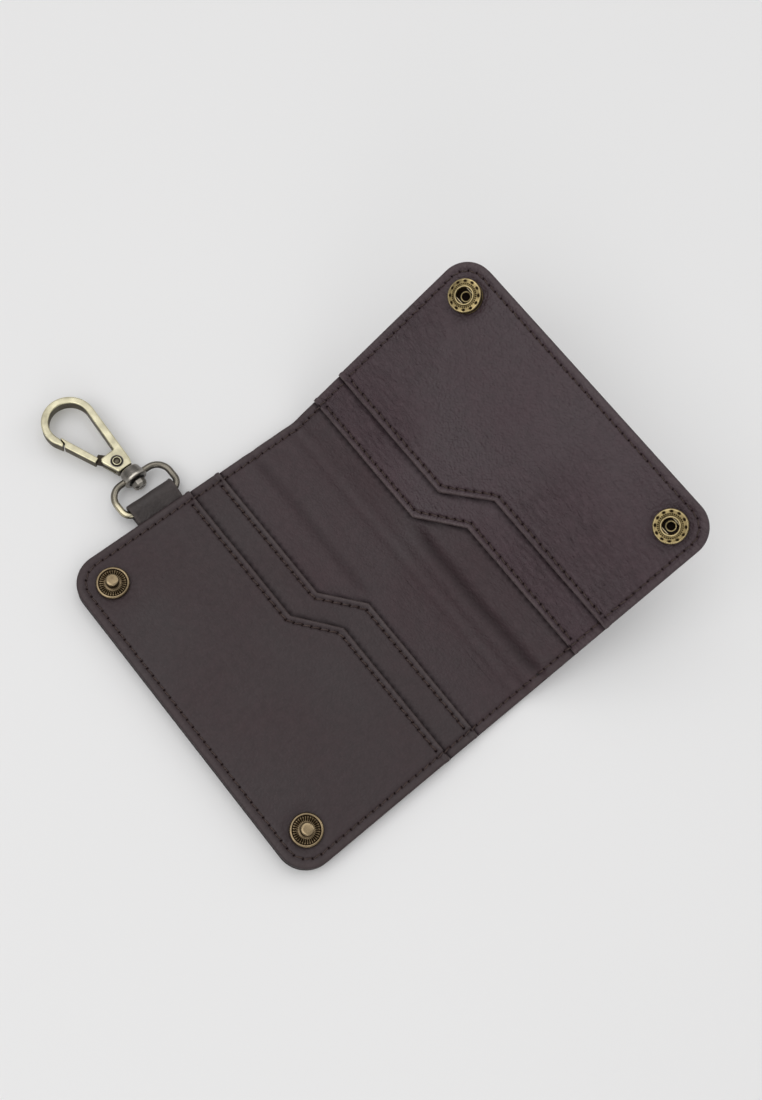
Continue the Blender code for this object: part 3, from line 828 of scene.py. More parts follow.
def shell(side):
    """The outer leather and the board inside it: rounded below, with its own row of stitches underneath."""
    s = Shape()
    loop = dense(cover_loop(0.0, 0.0), 0.9)
    R, R2 = 0.95, 0.35
    z0, z1 = 0.0, SHELL_TOP
    seam = SEAMS[side, "cover"]
    rims = [R * f for f in (0.05, 0.2, 0.45, 0.75, 1.0)]
    rings = [inset(loop, d) for d in rims]
    soft = [dense(inset(loop, d), 1.1) for d in (1.4, 1.9, 2.3, 2.64, 3.0, 3.5, 4.3)]
    g = 2.0
    X, Y = np.meshgrid(np.arange(0, REACH, g), np.arange(-H2, H2, g * 0.866))
    X = X + (np.arange(X.shape[0]) % 2)[:, None] * g / 2
    grid = np.c_[X.ravel(), Y.ravel()]
    grid = grid[inside(grid, inset(loop, 4.9))]
    bendy = [np.array([(x, y) for x in np.arange(0.7, 9.0, 0.7) for y in np.arange(-H2 + 4.6, H2 - 4.4, 2.2)])]
    pts = np.concatenate(soft + [grid] + bendy)
    pts = pts[inside(pts, inset(loop, R + 0.2))]
    far = np.ones(len(pts), bool)
    for c in seam:
        far &= ((pts - c) ** 2).sum(1) > 0.72 ** 2
    pts = pts[far]
    a8 = np.linspace(0, 2 * math.pi, 8, endpoint=False)
    pts = np.concatenate([pts, seam] + [(seam[:, None, :] + r * np.c_[np.cos(a8), np.sin(a8)][None]).reshape(-1, 2) for r in (0.19, 0.34, 0.52)])
    V, F = triangulate(loop, rings, pts)
    e = edge_distance(V)
    drop = R * (1 - np.sqrt(np.clip(1 - rounding(e, R) ** 2, 0, 1)))
    dz = 0.24 * gauss(e - STITCH_IN, 0.42)
    wear_and_painted_light = 0.5 * gauss(e - 0.9, 0.7)
    for s_ in (1, -1):
        r = np.hypot(V[:, 0] - SNAP_U, V[:, 1] - s_ * SNAP_Y)
        dz = dz + 0.12 * gauss(r - 6.2, 1.2)
    for c in seam:
        r = np.hypot(V[:, 0] - c[0], V[:, 1] - c[1])
        k = r < 0.9
        dz[k] += 0.70 * gauss(r[k], 0.30)
        # painted shade in the needle hole
        wear_and_painted_light[k] = np.minimum(wear_and_painted_light[k], -gauss(r[k], 0.40))
    dz = dz + 0.05 * (1 + swell(V[:, 0], V[:, 1], 3.3)) * smoothstep((e - 3) / 5)
    s.add(np.c_[V, z0 + drop + dz], [f[::-1] for f in F], 0, wear_and_painted_light)
    m = len(loop)
    low = (z0 + drop + dz)[:m]
    t = np.linspace(0, math.pi / 2, 4)
    rows = [np.c_[loop, low]]
    for f in (0.4, 0.8):
        rows.append(np.c_[loop, low * (1 - f) + (z1 - R2) * f])
    e0 = edge_distance(loop)
    for a in t:
        d = R2 * (1 - math.cos(a))
        rows.append(np.c_[inset(loop, d), np.full(m, z1 - R2 * (1 - math.sin(a)))])
    VV = np.concatenate(rows)
    FF = []
    for i in range(len(rows) - 1):
        for k in range(m):
            l = (k + 1) % m
            FF.append((i * m + k, i * m + l, (i + 1) * m + l, (i + 1) * m + k))
    s.add(VV, FF, 1)
    cap = inset(loop, R2)
    inner = grid[(np.round(grid[:, 0] / g) % 2 == 0)]
    fold = np.array([(x, y) for x in np.arange(0.6, 9.6, 0.75) for y in np.arange(-H2 + 1.4, H2 - 1.3, 2.4)])
    inner = np.concatenate([inner[inner[:, 0] > 10.2], fold[inside(fold, inset(cap, 0.3))]])
    U, FU = triangulate(cap, [], inner)
    s.add(np.c_[U, np.full(len(U), z1)], FU, 1)
    return s


def thread_run(shape, P, Z, slant=0.16, r=0.23, under=False):
    """One stitch between each pair of holes: it dives into both and lies on a slant between them."""
    sgn = -1.0 if under else 1.0
    for i in range(len(P) - 1):
        a, b = P[i], P[i + 1]
        d = b - a
        L = np.linalg.norm(d)
        if L > PITCH * 1.6:
            continue
        d = d / L
        nrm = np.array([-d[1], d[0]])
        ts = np.array([0.02, 0.09, 0.18, 0.34, 0.5, 0.66, 0.82, 0.91, 0.98])
        hs = np.array([-0.62, -0.30, -0.03, 0.13, 0.17, 0.13, -0.03, -0.30, -0.62])
        rr = np.array([0.72, 0.9, 1.0, 1.06, 1.08, 1.06, 1.0, 0.9, 0.72]) * r
        off = slant * np.cos(math.pi * ts)
        xy = a + (b - a) * ts[:, None] + nrm * off[:, None]
        z = Z[i] + (Z[i + 1] - Z[i]) * ts + sgn * hs
        V, F = tube(np.c_[xy, z], rr, 7)
        shape.add(V, F, 0)


def stitch_height(side, P):
    """Height of the leather under a stitch line, without its needle holes."""
    return top_height(side, P)


body_pieces = {}
for side in ("left", "right"):
    mv = MOVE[side]
    seam = SEAMS[side, "cover"]
    which = layer_of(side, seam)
    # lining
    lin = panel(
        side, "lining", cover_loop(0.12, 0.0), LINING[0], LINING[1], 0.42, 0.12,
        holes=seam[which == 0], hidden=lambda Q, s=side: Q[:, 0] > lip_at(s, "lower", Q[:, 1]) + 3,
    )
    body_pieces["lining_" + side] = make("lining_%s_leather" % side, lin, [PANEL_M, EDGE], mv)
    for i, which_pocket in ((1, "lower"), (2, "upper")):
        own = SEAMS[side, which_pocket]
        holes = np.concatenate([seam[which == i], own])
        zb, zt = (LOWER, UPPER)[i - 1]
        hide = None
        if which_pocket == "lower":
            hide = lambda Q, s=side: Q[:, 0] > lip_at(s, "upper", Q[:, 1]) + 3
        p = panel(
            side, which_pocket, pocket_loop(side, which_pocket, 0.0 if i == 2 else 0.06), zb, zt,
            0.62 if i == 2 else 0.5, 0.0 if i == 2 else 0.06,
            lip=lip_line(side, which_pocket), holes=holes, hidden=hide,
        )
        body_pieces["%s_pocket_%s" % (which_pocket, side)] = make(
            "%s_pocket_%s_leather" % (which_pocket, side), p, [PANEL if side == "left" else PANEL_R, EDGE], mv)
    body_pieces["outer_" + side] = make("outer_cover_%s_leather" % side, shell(side), [HIDE, EDGE], mv)
    # threads
    th = Shape()
    P = seam
    if side == "left":
        # this side also carries the stitch that bridges the middle of the spine
        for s_ in (0, -1):
            y = P[s_][1]
            bridge = np.array([(-PITCH / 2, y), (PITCH / 2, y)])
            thread_run(th, bridge, np.full(2, LINING[1] - 0.18))
    thread_run(th, P, stitch_height(side, P), r=0.20)
    for which_pocket in ("lower", "upper"):
        Q = SEAMS[side, which_pocket]
        name = which_pocket
        thread_run(th, Q, LAYER_TOP[name] + relief(Q, side, name))
    body_pieces["stitches_" + side] = make("stitches_" + side, th, [THREAD], mv)
    tb = Shape()
    thread_run(tb, P, np.full(len(P), 0.30), under=True, r=0.2)
    body_pieces["stitches_back_" + side] = make("stitches_back_" + side, tb, [THREAD], mv)


def on_fold(obj, side):
    """Bakes the piece's transform into its mesh; its bend was made by the side's move when the mesh was built."""
    if side == "left":
        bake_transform(obj)
    else:
        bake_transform(obj)


STANDS_FOR = {
    "outer_left": ["outer_cover_left", "stiffener_left", "outer_spine"],
    "outer_right": ["outer_cover_right", "stiffener_right"],
    "lining_left": ["lining_left", "lining_spine"],
    "lining_right": ["lining_right"],
    "lower_pocket_left": ["lower_pocket_left"], "upper_pocket_left": ["upper_pocket_left"],
    "lower_pocket_right": ["lower_pocket_right"], "upper_pocket_right": ["upper_pocket_right"],
    "stitches_left": ["seam_cover_left", "seam_lower_pocket_left", "seam_upper_pocket_left", "seam_spine_top", "seam_spine_bottom"],
    "stitches_right": ["seam_cover_right", "seam_lower_pocket_right", "seam_upper_pocket_right"],
}
for key, obj in body_pieces.items():
    side = "left" if "left" in key else "right"
    if "pocket" in key:
        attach(obj, "cover_" + side)
    else:
        on_fold(obj, side)
    if key in STANDS_FOR:
        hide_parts(*STANDS_FOR[key])

# =============================================================================
# hook tab: one strap, folded round the ring's bar, its ends between the layers
# =============================================================================
def strap():
    end = np.array([58.45, AXIS_Z])
    rc = 1.93
    low = [(50.5, 1.45), (52.5, 1.42), (54.2, 1.38), (55.6, 1.38), (57.0, 1.48)]
    loop = [tuple(end + rc * np.array([math.cos(a), math.sin(a)])) for a in np.radians(np.linspace(-88, 108, 22))]
    high = [(56.75, 4.72), (55.7, 4.05), (54.7, 3.42), (53.6, 2.88), (52.4, 2.62), (50.5, 2.55)]
    C = np.array(low + loop + high)
    for _ in range(3):
        C[1:-1] = 0.25 * C[:-2] + 0.5 * C[1:-1] + 0.25 * C[2:]
    C = dense(C, 0.35, closed=False)
    for _ in range(4):
        C[1:-1] = 0.25 * C[:-2] + 0.5 * C[1:-1] + 0.25 * C[2:]
    T = unit(np.gradient(C, axis=0))
    N = np.c_[T[:, 1], -T[:, 0]]            # outwards from the loop
    half, th = TAB_HALF, 0.5
    xs = np.linspace(-half + th, half - th, 26)
    sect = [(x, th) for x in xs]
    sect += [(half - th + th * math.sin(a), th * math.cos(a)) for a in np.linspace(0, math.pi, 7)[1:-1]]
    sect += [(x, -th) for x in xs[::-1]]
    sect += [(-half + th - th * math.sin(a), -th * math.cos(a)) for a in np.linspace(0, math.pi, 7)[1:-1]]
    S = np.array(sect)
    n, m = len(C), len(S)
    V, W = [], []
    for i in range(n):
        x, t = S[:, 0], S[:, 1]
        wob = 0.05 * np.sin(0.8 * x + 0.5 * i * 0.35) + 0.04 * np.sin(0.35 * x - 0.22 * i)
        # a slight waviness on the face, and a scored line beside each edge
        score = -0.10 * gauss(np.abs(x) - (half - 1.35), 0.28) * (t > 0)
        tt = t + np.where(t > 0.1, wob + score, 0.0)
        V.append(np.c_[TAB_X + x, C[i, 0] + N[i, 0] * tt, C[i, 1] + N[i, 1] * tt])
        # lighter along both edges from wear; a painted highlight over the loop's bend
        W.append(0.85 * gauss(np.abs(x) - (half - 0.30), 0.35) * (t > -0.2) + 0.25 * gauss((C[i, 0] - 60.2), 0.7))
    F = []
    for i in range(n - 1):
        for k in range(m):
            l = (k + 1) % m
            F.append((i * m + k, i * m + l, (i + 1) * m + l, (i + 1) * m + k))
    F.append(tuple(range(m - 1, -1, -1)))
    F.append(tuple((n - 1) * m + k for k in range(m)))
    s = Shape()
    s.add(np.concatenate(V), F, 0, np.concatenate(W))
    return s


tab = make("tab_strap", strap(), [STRAP])
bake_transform(tab)
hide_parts("ring_tab", "tab_anchor")


# =============================================================================
# snap fasteners
# =============================================================================
def on_cover(side, s):
    """Places a turned piece, made about Z from the leather's top, on its cover."""
    def f(P):
        Q = P + np.array([SNAP_U, s * SNAP_Y, TOP])
        return MOVE[side](Q)
    return f


def fine(profile, r=0.12, n=3):
    return smooth_profile(profile, r, n)


def stud_shape():
    s = Shape()
    prof = fine([
        (0, 3.84), (1.25, 3.83), (1.66, 3.68), (1.86, 3.38), (1.84, 3.10), (1.62, 2.80), (1.62, 1.2),
        (1.72, 0.98), (2.15, 0.78),
    ], 0.22)
    dish = [(r, 0.74 - 0.10 * math.sin(math.pi * (r - 2.2) / 1.55)) for r in np.linspace(2.25, 3.72, 9)]
    rim = fine([(3.78, 0.80), (3.9, 1.12), (4.2, 1.26), (4.55, 1.16), (4.78, 0.78), (4.74, 0.35), (4.5, 0.1), (0, 0.1)], 0.16)

    def ribs(r, z, t):
        if 2.3 < r < 3.75 and 0.4 < z < 0.95:
            k = min(1.0, (r - 2.3) / 0.25, (3.75 - r) / 0.2)
            return r, z + 0.18 * k * math.cos(32 * t)
        return r, z

    V, F = lathe(prof + dish + rim, 252, modulate=ribs)
    r = np.hypot(V[:, 0], V[:, 1])
    z = V[:, 2]
    # painted highlights on the rim, the head's shoulder and top and the rib crests; painted shade in the rib valleys
    # and on the post below the head
    w = 0.45 * gauss(r - 4.3, 0.22) * (z > 0.9) + 0.75 * (z > 3.4) * gauss(r - 1.50, 0.30) + 0.22 * (z > 3.6) + ((r > 2.1) & (r < 3.8) & (z < 0.96) & (z > 0.3)) * (1.25 * np.clip((z - 0.50) / 0.36, 0, 1) - 0.80) - 0.5 * ((r < 1.9) & (z < 3.0) & (z > 0.5))
    s.add(V, F, 0, w)
    return s


def stud_back_shape():
    """The flush disc outside the left cover, with its turned rings."""
    s = Shape()
    V, F = lathe(fine([
        (0, -4.62), (1.5, -4.62), (1.7, -4.5), (3.1, -4.5), (3.3, -4.66), (3.85, -4.68), (4.15, -4.5), (4.15, -3.7),
        (1.7, -3.6), (1.7, -0.1), (0, -0.1),
    ], 0.10), 72)
    r = np.hypot(V[:, 0], V[:, 1])
    s.add(V, F[::-1], 0, 0.8 * gauss(r - 3.6, 0.3) - 0.4 * gauss(r - 2.4, 0.6))
    return s


def socket_shape():
    s = Shape()
    dots = 12
    outer = [(r, 3.20 - 0.05 * (r - 3.0) - 0.035 * (r - 3.0) ** 2) for r in np.arange(3.12, 4.66, 0.07)]
    prof = [(2.34, 2.70)] + fine([(2.34, 3.05), (2.40, 3.38), (2.62, 3.50), (2.86, 3.40), (3.00, 3.14)], 0.1)
    prof += outer
    prof += fine([(4.72, 3.02), (4.92, 2.84), (4.98, 2.55), (4.98, 2.15), (4.80, 1.98), (4.78, 0.56), (4.94, 0.42), (4.96, 0.2), (4.8, 0.08), (2.0, 0.08), (1.98, 0.55), (2.9, 0.6), (2.92, 2.35), (2.34, 2.62)], 0.08)

    def work(r, z, t):
        if z > 2.9:
            # a circle of fine beads beside the collar, and generic dots round the flange
            z -= 0.24 * math.exp(-(((r - 3.40) / 0.17) ** 2)) * (0.5 + 0.5 * math.cos(36 * t))
            a = (t * dots / (2 * math.pi)) % 1.0 - 0.5
            d = math.hypot((r - 4.18) / 0.34, a * 2 * math.pi / dots * 4.18 / 0.46)
            z -= 0.22 * math.exp(-(d ** 4))
        elif 0.6 < z < 1.95 and r > 4.6:
            r += 0.05 * math.cos(60 * t)          # knurled side
        return r, z

    V, F = lathe(prof, 288, closed=True, modulate=work)
    r = np.hypot(V[:, 0], V[:, 1])
    z = V[:, 2]
    t = np.arctan2(V[:, 1], V[:, 0])
    a = (t * dots / (2 * math.pi)) % 1.0 - 0.5
    d = np.hypot((r - 4.18) / 0.34, a * 2 * math.pi / dots * 4.18 / 0.46)
    # painted highlights on the collar and outer rim; darker in the collar's groove, the dots and the bead valleys;
    # painted shade on the knurled side and inside the cavity
    w = 0.8 * gauss(r - 2.62, 0.22) * (z > 3.2) + 0.60 * gauss(r - 4.66, 0.16) * (z > 2.7) + 0.12 * (z > 2.9) - 0.6 * gauss(r - 3.02, 0.10) * (z > 2.9)
    w = np.where((z > 2.85) & (r > 3.1), w - 1.4 * np.exp(-(d ** 4)) - 1.25 * gauss(r - 3.40, 0.17) * (0.5 + 0.5 * np.cos(36 * t)), w)
    w = np.where((z < 2.0) & (z > 0.5), -0.6, w)
    w = np.where((r < 3.0) & (z < 3.0), -1.0, w)
    s.add(V, F, 0, w)
    return s


def cap_shape():
    """The domed cap outside the right cover, its shank through the leather and the rolled eyelet inside the socket."""
    s = Shape()
    prof = [(0, 0.20), (1.12, 0.20)] + fine([(1.12, 0.50), (1.2, 0.70), (1.45, 0.80), (1.72, 0.68), (1.82, 0.45), (1.74, 0.06)], 0.1)
    prof += fine([(1.7, -TOP - 0.05), (5.6, -TOP - 0.05), (5.95, -TOP - 0.3), (5.92, -TOP - 0.55), (5.6, -TOP - 0.72), (5.2, -TOP - 0.80)], 0.12)
    prof += [(r, -TOP - 0.86 - 0.78 * math.sqrt(max(0.0, 1 - (r / 5.25) ** 2))) for r in (5.1, 4.8, 4.3, 3.6, 2.8, 2.0, 1.2, 0.6)]
    prof += [(0, -TOP - 1.64)]
    V, F = lathe(prof, 96)
    r = np.hypot(V[:, 0], V[:, 1])
    z = V[:, 2]
    # painted highlights on the rim and the dome's crown, darker in the groove inside the rim; on the eyelet, lighter
    # above and painted shade down inside it
    w = np.where(z < -TOP, 0.7 * gauss(r - 5.9, 0.25) + 0.45 * gauss(r, 3.0) - 0.8 * gauss(r - 5.25, 0.18), 0.45 * (z > 0.5) - 1.0 * (z < 0.45))
    s.add(V, F, 0, w)
    # painted shade: a near-black disc at the bottom of the eyelet
    V, F = lathe([(0, 0.34), (1.06, 0.34), (1.06, 0.22), (0, 0.22)], 32)
    s.add(V, F, 1)
    return s


def spring_shape():
    """The socket's bent spring wire, open at one side."""
    pts = [(2.62 * math.cos(a), 2.62 * math.sin(a), 2.08) for a in np.radians(np.linspace(25, 335, 40))]
    s = Shape()
    V, F = tube(np.array(pts), 0.2, 10)
    s.add(V, F, 0, np.full(len(V), 0.3))
    # the two straight legs that close on the post
    for sx in (1, -1):
        leg = [(sx * 2.03, y, 2.08 + 0.01 * y) for y in np.linspace(-1.75, 1.75, 9)]
        V, F = tube(np.array(leg), 0.19, 10)
        s.add(V, F, 0, np.full(len(V), 0.5))
    return s


for place, sg in (("top", 1), ("bottom", -1)):
    o = make("snap_stud_%s_ribbed" % place, stud_shape(), [BRONZE], on_cover("left", sg), sharp=50)
    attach(o, "cover_left"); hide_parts("snap_stud_" + place)
    o = make("stud_back_%s_disc" % place, stud_back_shape(), [BRONZE], on_cover("left", sg), sharp=45)
    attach(o, "cover_left"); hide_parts("stud_back_" + place)
    o = make("snap_socket_%s_flange" % place, socket_shape(), [GOLD], on_cover("right", sg), sharp=50)
    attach(o, "cover_right"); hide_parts("snap_socket_" + place)
    o = make("snap_cap_%s_dome" % place, cap_shape(), [GOLD, EYELET_SHADE], on_cover("right", sg), sharp=45)
    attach(o, "cover_right"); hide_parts("snap_cap_" + place)
    o = make("socket_spring_%s_wire" % place, spring_shape(), [WIRE], on_cover("right", sg))
    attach(o, "cover_right"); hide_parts("socket_spring_" + place)


# =============================================================================
# ring, barrel and swivel pin
# =============================================================================
def along_y(P):
    """From turned about Z to turned about the swivel axis, local +z along +Y."""
    return np.c_[AXIS_X + P[:, 0], P[:, 2], AXIS_Z - P[:, 1]]


def boolean_cut(obj, cutter_shape, operation="DIFFERENCE", name="cut"):
    c = make("tmp_" + name, cutter_shape, [])
    b = obj.modifiers.new("cut", "BOOLEAN")
    b.operation, b.solver, b.object = operation, "EXACT", c
    bpy.context.view_layer.update()
    me = bpy.data.meshes.new_from_object(obj.evaluated_get(bpy.context.evaluated_depsgraph_get()))
    obj.modifiers.clear()
    obj.data = me
    bpy.data.objects.remove(c, do_unlink=True)
    return obj


def box_shape(lo, hi):
    s = Shape()
    (x0, y0, z0), (x1, y1, z1) = lo, hi
    V = [(x, y, z) for z in (z0, z1) for y in (y0, y1) for x in (x0, x1)]
    F = [(0, 2, 3, 1), (4, 5, 7, 6), (0, 1, 5, 4), (2, 6, 7, 3), (0, 4, 6, 2), (1, 3, 7, 5)]
    s.add(V, F)
    return s


RING_HALF, RING_TOP, R_LOW, R_HIGH = 9.35, 67.35, 3.0, 4.5
x0, x1 = AXIS_X + 0.2 - RING_HALF, AXIS_X + 0.2 + RING_HALF
line = arc(x0 + R_LOW, BAR_Y + R_LOW, R_LOW, 270, 180, 12)
line += arc(x0 + R_HIGH, RING_TOP - R_HIGH, R_HIGH, 180, 90, 16)
line += arc(x1 - R_HIGH, RING_TOP - R_HIGH, R_HIGH, 90, 0, 16)
line += arc(x1 - R_LOW, BAR_Y + R_LOW, R_LOW, 0, -90, 12)
ring_path = dense([(x, y) for x, y in line], 0.6)
ring_path = ring_path[np.r_[True, np.linalg.norm(np.diff(ring_path, axis=0), axis=1) > 0.02]]
V, F = tube(np.c_[ring_path, np.full(len(ring_path), AXIS_Z)], 1.0, 20, closed=True)
ring = Shape()
# painted light: lighter on top of the wire, painted shade underneath, and a painted highlight near the bar on the left
up_ness = (V[:, 2] - AXIS_Z) / 1.0
nearbar = gauss((V[:, 1] - 60.0), 4.0) * (V[:, 0] < AXIS_X)
ring.add(V, F, 0, 0.12 * np.clip(up_ness, 0, 1) + 0.75 * nearbar * (up_ness > 0) - 0.55 * (up_ness < 0.15))
barrel = Shape()
V, F = lathe(fine([
    (1.36, 70.0), (2.62, 70.0), (2.90, 69.86), (3.04, 69.55), (3.14, 69.1), (3.30, 68.4), (3.52, 67.5), (3.70, 66.8), (3.68, 66.25),
    (3.42, 65.95), (2.5, 65.9), (2.3, 66.15), (1.36, 66.2),
], 0.10), 72, closed=True)
r = np.hypot(V[:, 0], V[:, 1])
# painted highlights: bands at the wide lip and the top edge; painted shade in the bore and a faint band across the
# waist
barrel.add(V, F, 0, 0.9 * gauss(V[:, 2] - 66.5, 0.35) * (r > 3.3) + 0.7 * gauss(V[:, 2] - 69.85, 0.2) - 0.9 * (r < 2.55) - 0.25 * gauss(V[:, 2] - 68.6, 0.5))
ring_obj = make("swivel_ring", ring, [SILVER])
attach(ring_obj, "ring"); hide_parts("swivel_eye")
barrel_obj = make("swivel_barrel", barrel, [DARK], along_y, sharp=50)
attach(barrel_obj, "ring")

pin = Shape()
V, F = lathe([(0, 63.3), (1.50, 63.3), (2.20, 63.95), (2.22, 65.3), (2.0, 65.7), (1.25, 65.75), (1.25, 70.45), (0, 70.45)], 8)
a = math.pi / 8
V = np.c_[V[:, 0] * math.cos(a) - V[:, 1] * math.sin(a), V[:, 0] * math.sin(a) + V[:, 1] * math.cos(a), V[:, 2]]
# painted highlight on the head's face and its edge
pin.add(V, F, 0, 0.75 * (V[:, 2] < 63.5) * (np.hypot(V[:, 0], V[:, 1]) > 0.5) + 0.3 * gauss(V[:, 2] - 63.95, 0.2))
pin_obj = make("swivel_pin_head", pin, [DARK], along_y, sharp=20)
boolean_cut(pin_obj, box_shape((AXIS_X - 3, 62.5, AXIS_Z - 0.34), (AXIS_X + 3, 64.15, AXIS_Z + 0.34)), name="slot")
bev = pin_obj.modifiers.new("soft", "BEVEL")
bev.width, bev.segments, bev.limit_method, bev.angle_limit = 0.07 * MM, 2, "ANGLE", math.radians(18)
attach(pin_obj, "hook"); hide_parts("swivel_pin")

# =============================================================================
# snap hook, its gate and the gate's rivet
# =============================================================================
BOW, BOW_OUT, BOW_IN = (-49.4, 91.9), 8.1, 6.0
hook_line = [(-47.2, 70.5), (-49.3, 75.4), (-49.35, 76.3), (-48.9, 76.9), (-44.25, 77.2)]
hook_line += arc(*BOW, BOW_IN, 0, 206, 30)
hook_line += [(-54.75, 87.2), (-55.5, 86.3)]
hook_line += arc(*BOW, BOW_OUT, 202, 0, 36)
hook_line += [(-42.1, 72.3), (-42.7, 70.5)]


def soften(poly, keep=0.35, n=3):
    """The closed outline with each sharp corner rounded."""
    P = [np.array(p, float) for p in poly]
    out = []
    for i, b in enumerate(P):
        a, c = P[i - 1], P[(i + 1) % len(P)]
        d1, d2 = np.linalg.norm(a - b), np.linalg.norm(c - b)
        turn = math.degrees(math.acos(np.clip(np.dot((b - a) / d1, (c - b) / d2), -1, 1)))
        if turn < 14:
            out.append(b)
            continue
        k = min(keep, 0.4 * d1, 0.4 * d2)
        s, e = b + (a - b) * k / d1, b + (c - b) * k / d2
        for j in range(n + 1):
            t = j / n
            out.append((1 - t) ** 2 * s + 2 * t * (1 - t) * b + t * t * e)
    return [tuple(p) for p in out]


def ccw(poly):
    P = np.array(poly)
    x, y = P[:, 0], P[:, 1]
    area = (x * np.roll(y, -1) - np.roll(x, -1) * y).sum()
    return poly if area > 0 else poly[::-1]


def slab_light_and_wear(s, zmid, half, edge):
    """Bright edges (rubbed wear and painted highlight), pale faces and painted shade on the side walls."""
    for i, V in enumerate(s.v):
        h = np.abs(V[:, 2] - zmid)
        s.w[i] = np.where(h < half - edge * 0.97, -0.80, np.where(h < half - 0.02, 0.80, 0.25))
    return s


hook = slab_light_and_wear(slab(soften(ccw(hook_line)), AXIS_Z - 2.0, AXIS_Z + 2.0, edge=0.42, step=0.7), AXIS_Z, 2.0, 0.42)
hook_obj = make("snap_hook_body", hook, [PALE], sharp=40)
boolean_cut(hook_obj, box_shape((-52, 71.35, AXIS_Z - 0.8), (-43.55, 79, AXIS_Z + 0.8)), name="slot")
hook_obj.data.set_sharp_from_angle(angle=math.radians(40))
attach(hook_obj, "hook"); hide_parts("hook_body")

gate_line = [(-49.35, 77.55), (-50.95, 76.75), (-55.2, 86.1), (-54.4, 86.95), (-54.55, 89.1), (-54.1, 88.9)]
gate = slab_light_and_wear(slab(soften(ccw(gate_line), 0.25), AXIS_Z - 1.8, AXIS_Z + 1.8, edge=0.30, step=0.7), AXIS_Z, 1.8, 0.30)
tang_line = arc(*RIVET, 1.85, -70, 45, 10) + [(-48.6, 78.9), (-51.2, 77.6)] + arc(*RIVET, 1.85, 200, 270, 8)
tang = slab_light_and_wear(slab(ccw(tang_line), AXIS_Z - 0.65, AXIS_Z + 0.65, edge=0.12, step=0.7), AXIS_Z, 0.65, 0.12)
tang.w = [np.full(len(v), -1.0) for v in tang.v]
gate_obj = make("snap_hook_gate", gate, [PALE], sharp=40)
boolean_cut(gate_obj, tang, "UNION", "tang")
gate_obj.data.set_sharp_from_angle(angle=math.radians(40))
# painted shade: the tang between the cheeks of the hook is coloured dark
for k, v in enumerate(gate_obj.data.vertices):
    if abs(v.co.z / MM - AXIS_Z) < 0.72 or (v.co.y / MM < 78.9 and abs(v.co.z / MM - AXIS_Z) < 1.2):
        gate_obj.data.attributes["wear_and_painted_light"].data[k].value = -1.0
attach(gate_obj, "gate"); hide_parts("hook_gate")

rivet = Shape()
for sg in (1, -1):
    V, F = lathe([(0, 2.20), (0.55, 2.20), (0.70, 2.06), (0.96, 2.05)] + fine([(1.02, 2.12), (1.09, 2.36), (1.24, 2.36), (1.34, 2.22), (1.38, 1.95)], 0.06) + [(0, 1.6)], 64)
    rad = np.hypot(V[:, 0], V[:, 1])
    # painted shade in the head's centre and groove, painted highlight on its raised rim
    w = np.where(rad < 0.60, -0.70, np.where(rad < 1.03, -1.0, 0.8))
    rivet.add(np.c_[V[:, 0] + RIVET[0], V[:, 1] + RIVET[1], AXIS_Z + sg * V[:, 2]], F if sg > 0 else [f[::-1] for f in F], 0, w)
    V, F = lathe(fine([(1.36, 2.0), (1.40, 2.02), (1.66, 2.02), (1.84, 2.10), (1.94, 2.05), (1.94, 1.9), (1.36, 1.9)], 0.03), 64, closed=True)
    rad = np.hypot(V[:, 0], V[:, 1])
    # painted shade on the washer's inner part, beside the head
    w = np.where(rad < 1.74, -1.0, 0.1)
    rivet.add(np.c_[V[:, 0] + RIVET[0], V[:, 1] + RIVET[1], AXIS_Z + sg * V[:, 2]], F if sg > 0 else [f[::-1] for f in F], 1, w)
V, F = lathe([(0, 1.7), (1.05, 1.7), (1.05, -1.7), (0, -1.7)], 32)
rivet.add(np.c_[V[:, 0] + RIVET[0], V[:, 1] + RIVET[1], AXIS_Z + V[:, 2]], F, 1)
rivet_obj = make("gate_rivet_heads", rivet, [PALE, DARK], sharp=50)
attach(rivet_obj, "hook"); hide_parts("gate_rivet")


# =============================================================================
# floor, light and camera
# =============================================================================
def plane(name, size, z):
    me = bpy.data.meshes.new(name)
    h = size / 2
    me.from_pydata([(-h, -h, z), (h, -h, z), (h, h, z), (-h, h, z)], [], [(0, 1, 2, 3)])
    o = bpy.data.objects.new(name, me)
    bpy.context.scene.collection.objects.link(o)
    return o


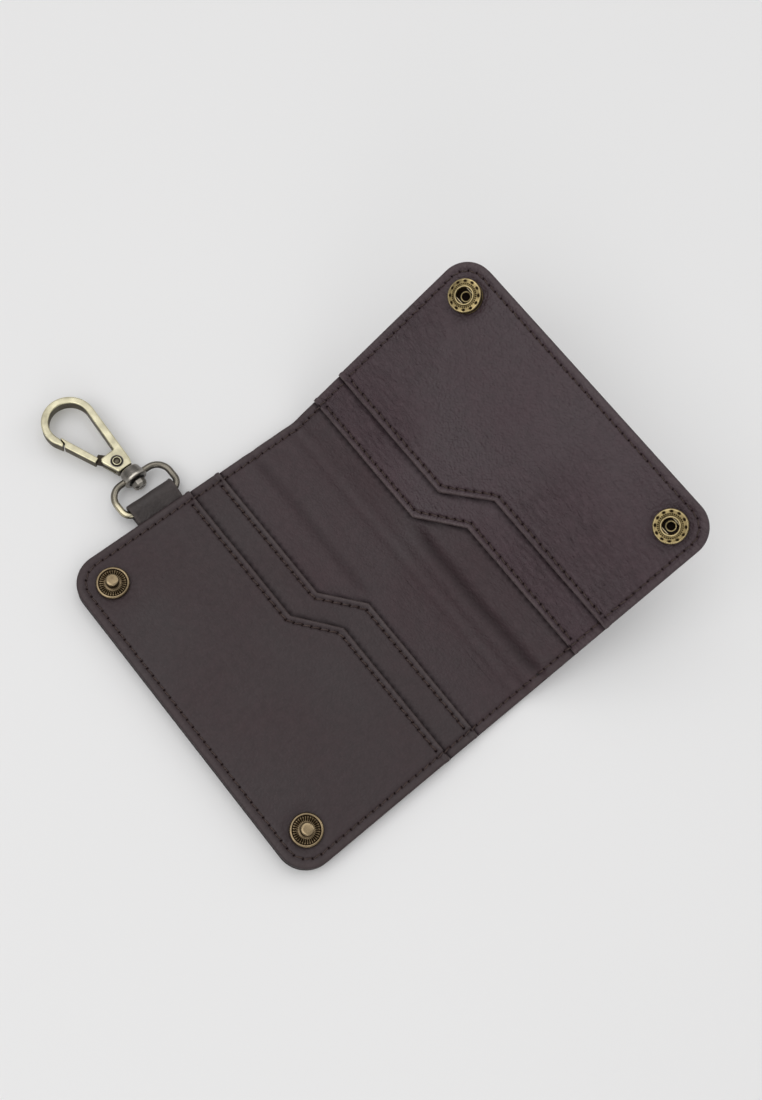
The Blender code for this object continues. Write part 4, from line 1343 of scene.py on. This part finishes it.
floor = plane("floor", 8.0, -0.00025)
fm, fnt, fb = new_material("floor_paper")
fco = coords(fnt)
tone = noise(fnt, fco, 3.0, 2.0, 0.5)
fnt.links.new(ramp(fnt, tone, [(0.3, (0.800, 0.797, 0.797)), (0.7, (0.815, 0.812, 0.812))]), fb.inputs["Base Color"])
fb.inputs["Roughness"].default_value = 0.9
fb.inputs["Specular IOR Level"].default_value = 0.1
floor.data.materials.append(fm)

scene = bpy.context.scene
scene.view_settings.view_transform = "Standard"
world = bpy.data.worlds.new("studio")
scene.world = world
world.use_nodes = True
wn = world.node_tree
bg = wn.nodes["Background"]
tc = node(wn, "ShaderNodeTexCoord")
sep = node(wn, "ShaderNodeSeparateXYZ")
wn.links.new(tc.outputs["Generated"], sep.inputs[0])
wr = ramp(wn, sep.outputs["Z"], [(0.0, (0.60, 0.60, 0.60)), (0.30, (0.55, 0.55, 0.55)), (0.62, (0.86, 0.86, 0.86)), (1.0, (1.0, 1.0, 1.0))])
wn.links.new(wr, bg.inputs["Color"])
bg.inputs["Strength"].default_value = 0.665


def area(name, loc, target, size, power, color=(1, 1, 1)):
    l = bpy.data.lights.new(name, "AREA")
    l.shape, l.size, l.energy, l.color = "SQUARE", size, power, color
    o = bpy.data.objects.new(name, l)
    o.location = loc
    o.rotation_mode = "QUATERNION"
    o.rotation_quaternion = (Vector(target) - Vector(loc)).to_track_quat("-Z", "Y")
    bpy.context.scene.collection.objects.link(o)
    return o


area("key", (-0.55, 0.10, 0.75), (0, 0, 0), 0.7, 2.15)
area("top", (0.15, 0.35, 1.0), (0, 0, 0), 0.9, 2.5)
area("right_fill", (0.75, -0.25, 0.42), (0.05, 0, 0), 0.6, 1.2)
area("low_fill", (-0.5, -0.75, 0.35), (-0.02, 0, 0), 0.4, 0.8)

cam = bpy.data.cameras.new("camera")
cam.lens, cam.sensor_width, cam.sensor_fit = 40.0250, 36.0, "AUTO"
cam.clip_start, cam.clip_end = 0.01, 10.0
cam_obj = bpy.data.objects.new("camera", cam)
right = Vector((0.76148007, -0.63273915, 0.14067431))
up = Vector((0.56782279, 0.75583744, 0.32601692))
fwd = Vector((0.31261059, 0.16837731, -0.93483886))
M = Matrix((right, up, -fwd)).transposed().to_4x4()
M.translation = Vector((-0.113377, -0.055061, 0.341720))
cam_obj.matrix_world = M
scene.collection.objects.link(cam_obj)
scene.camera = cam_obj

bpy.context.view_layer.update()
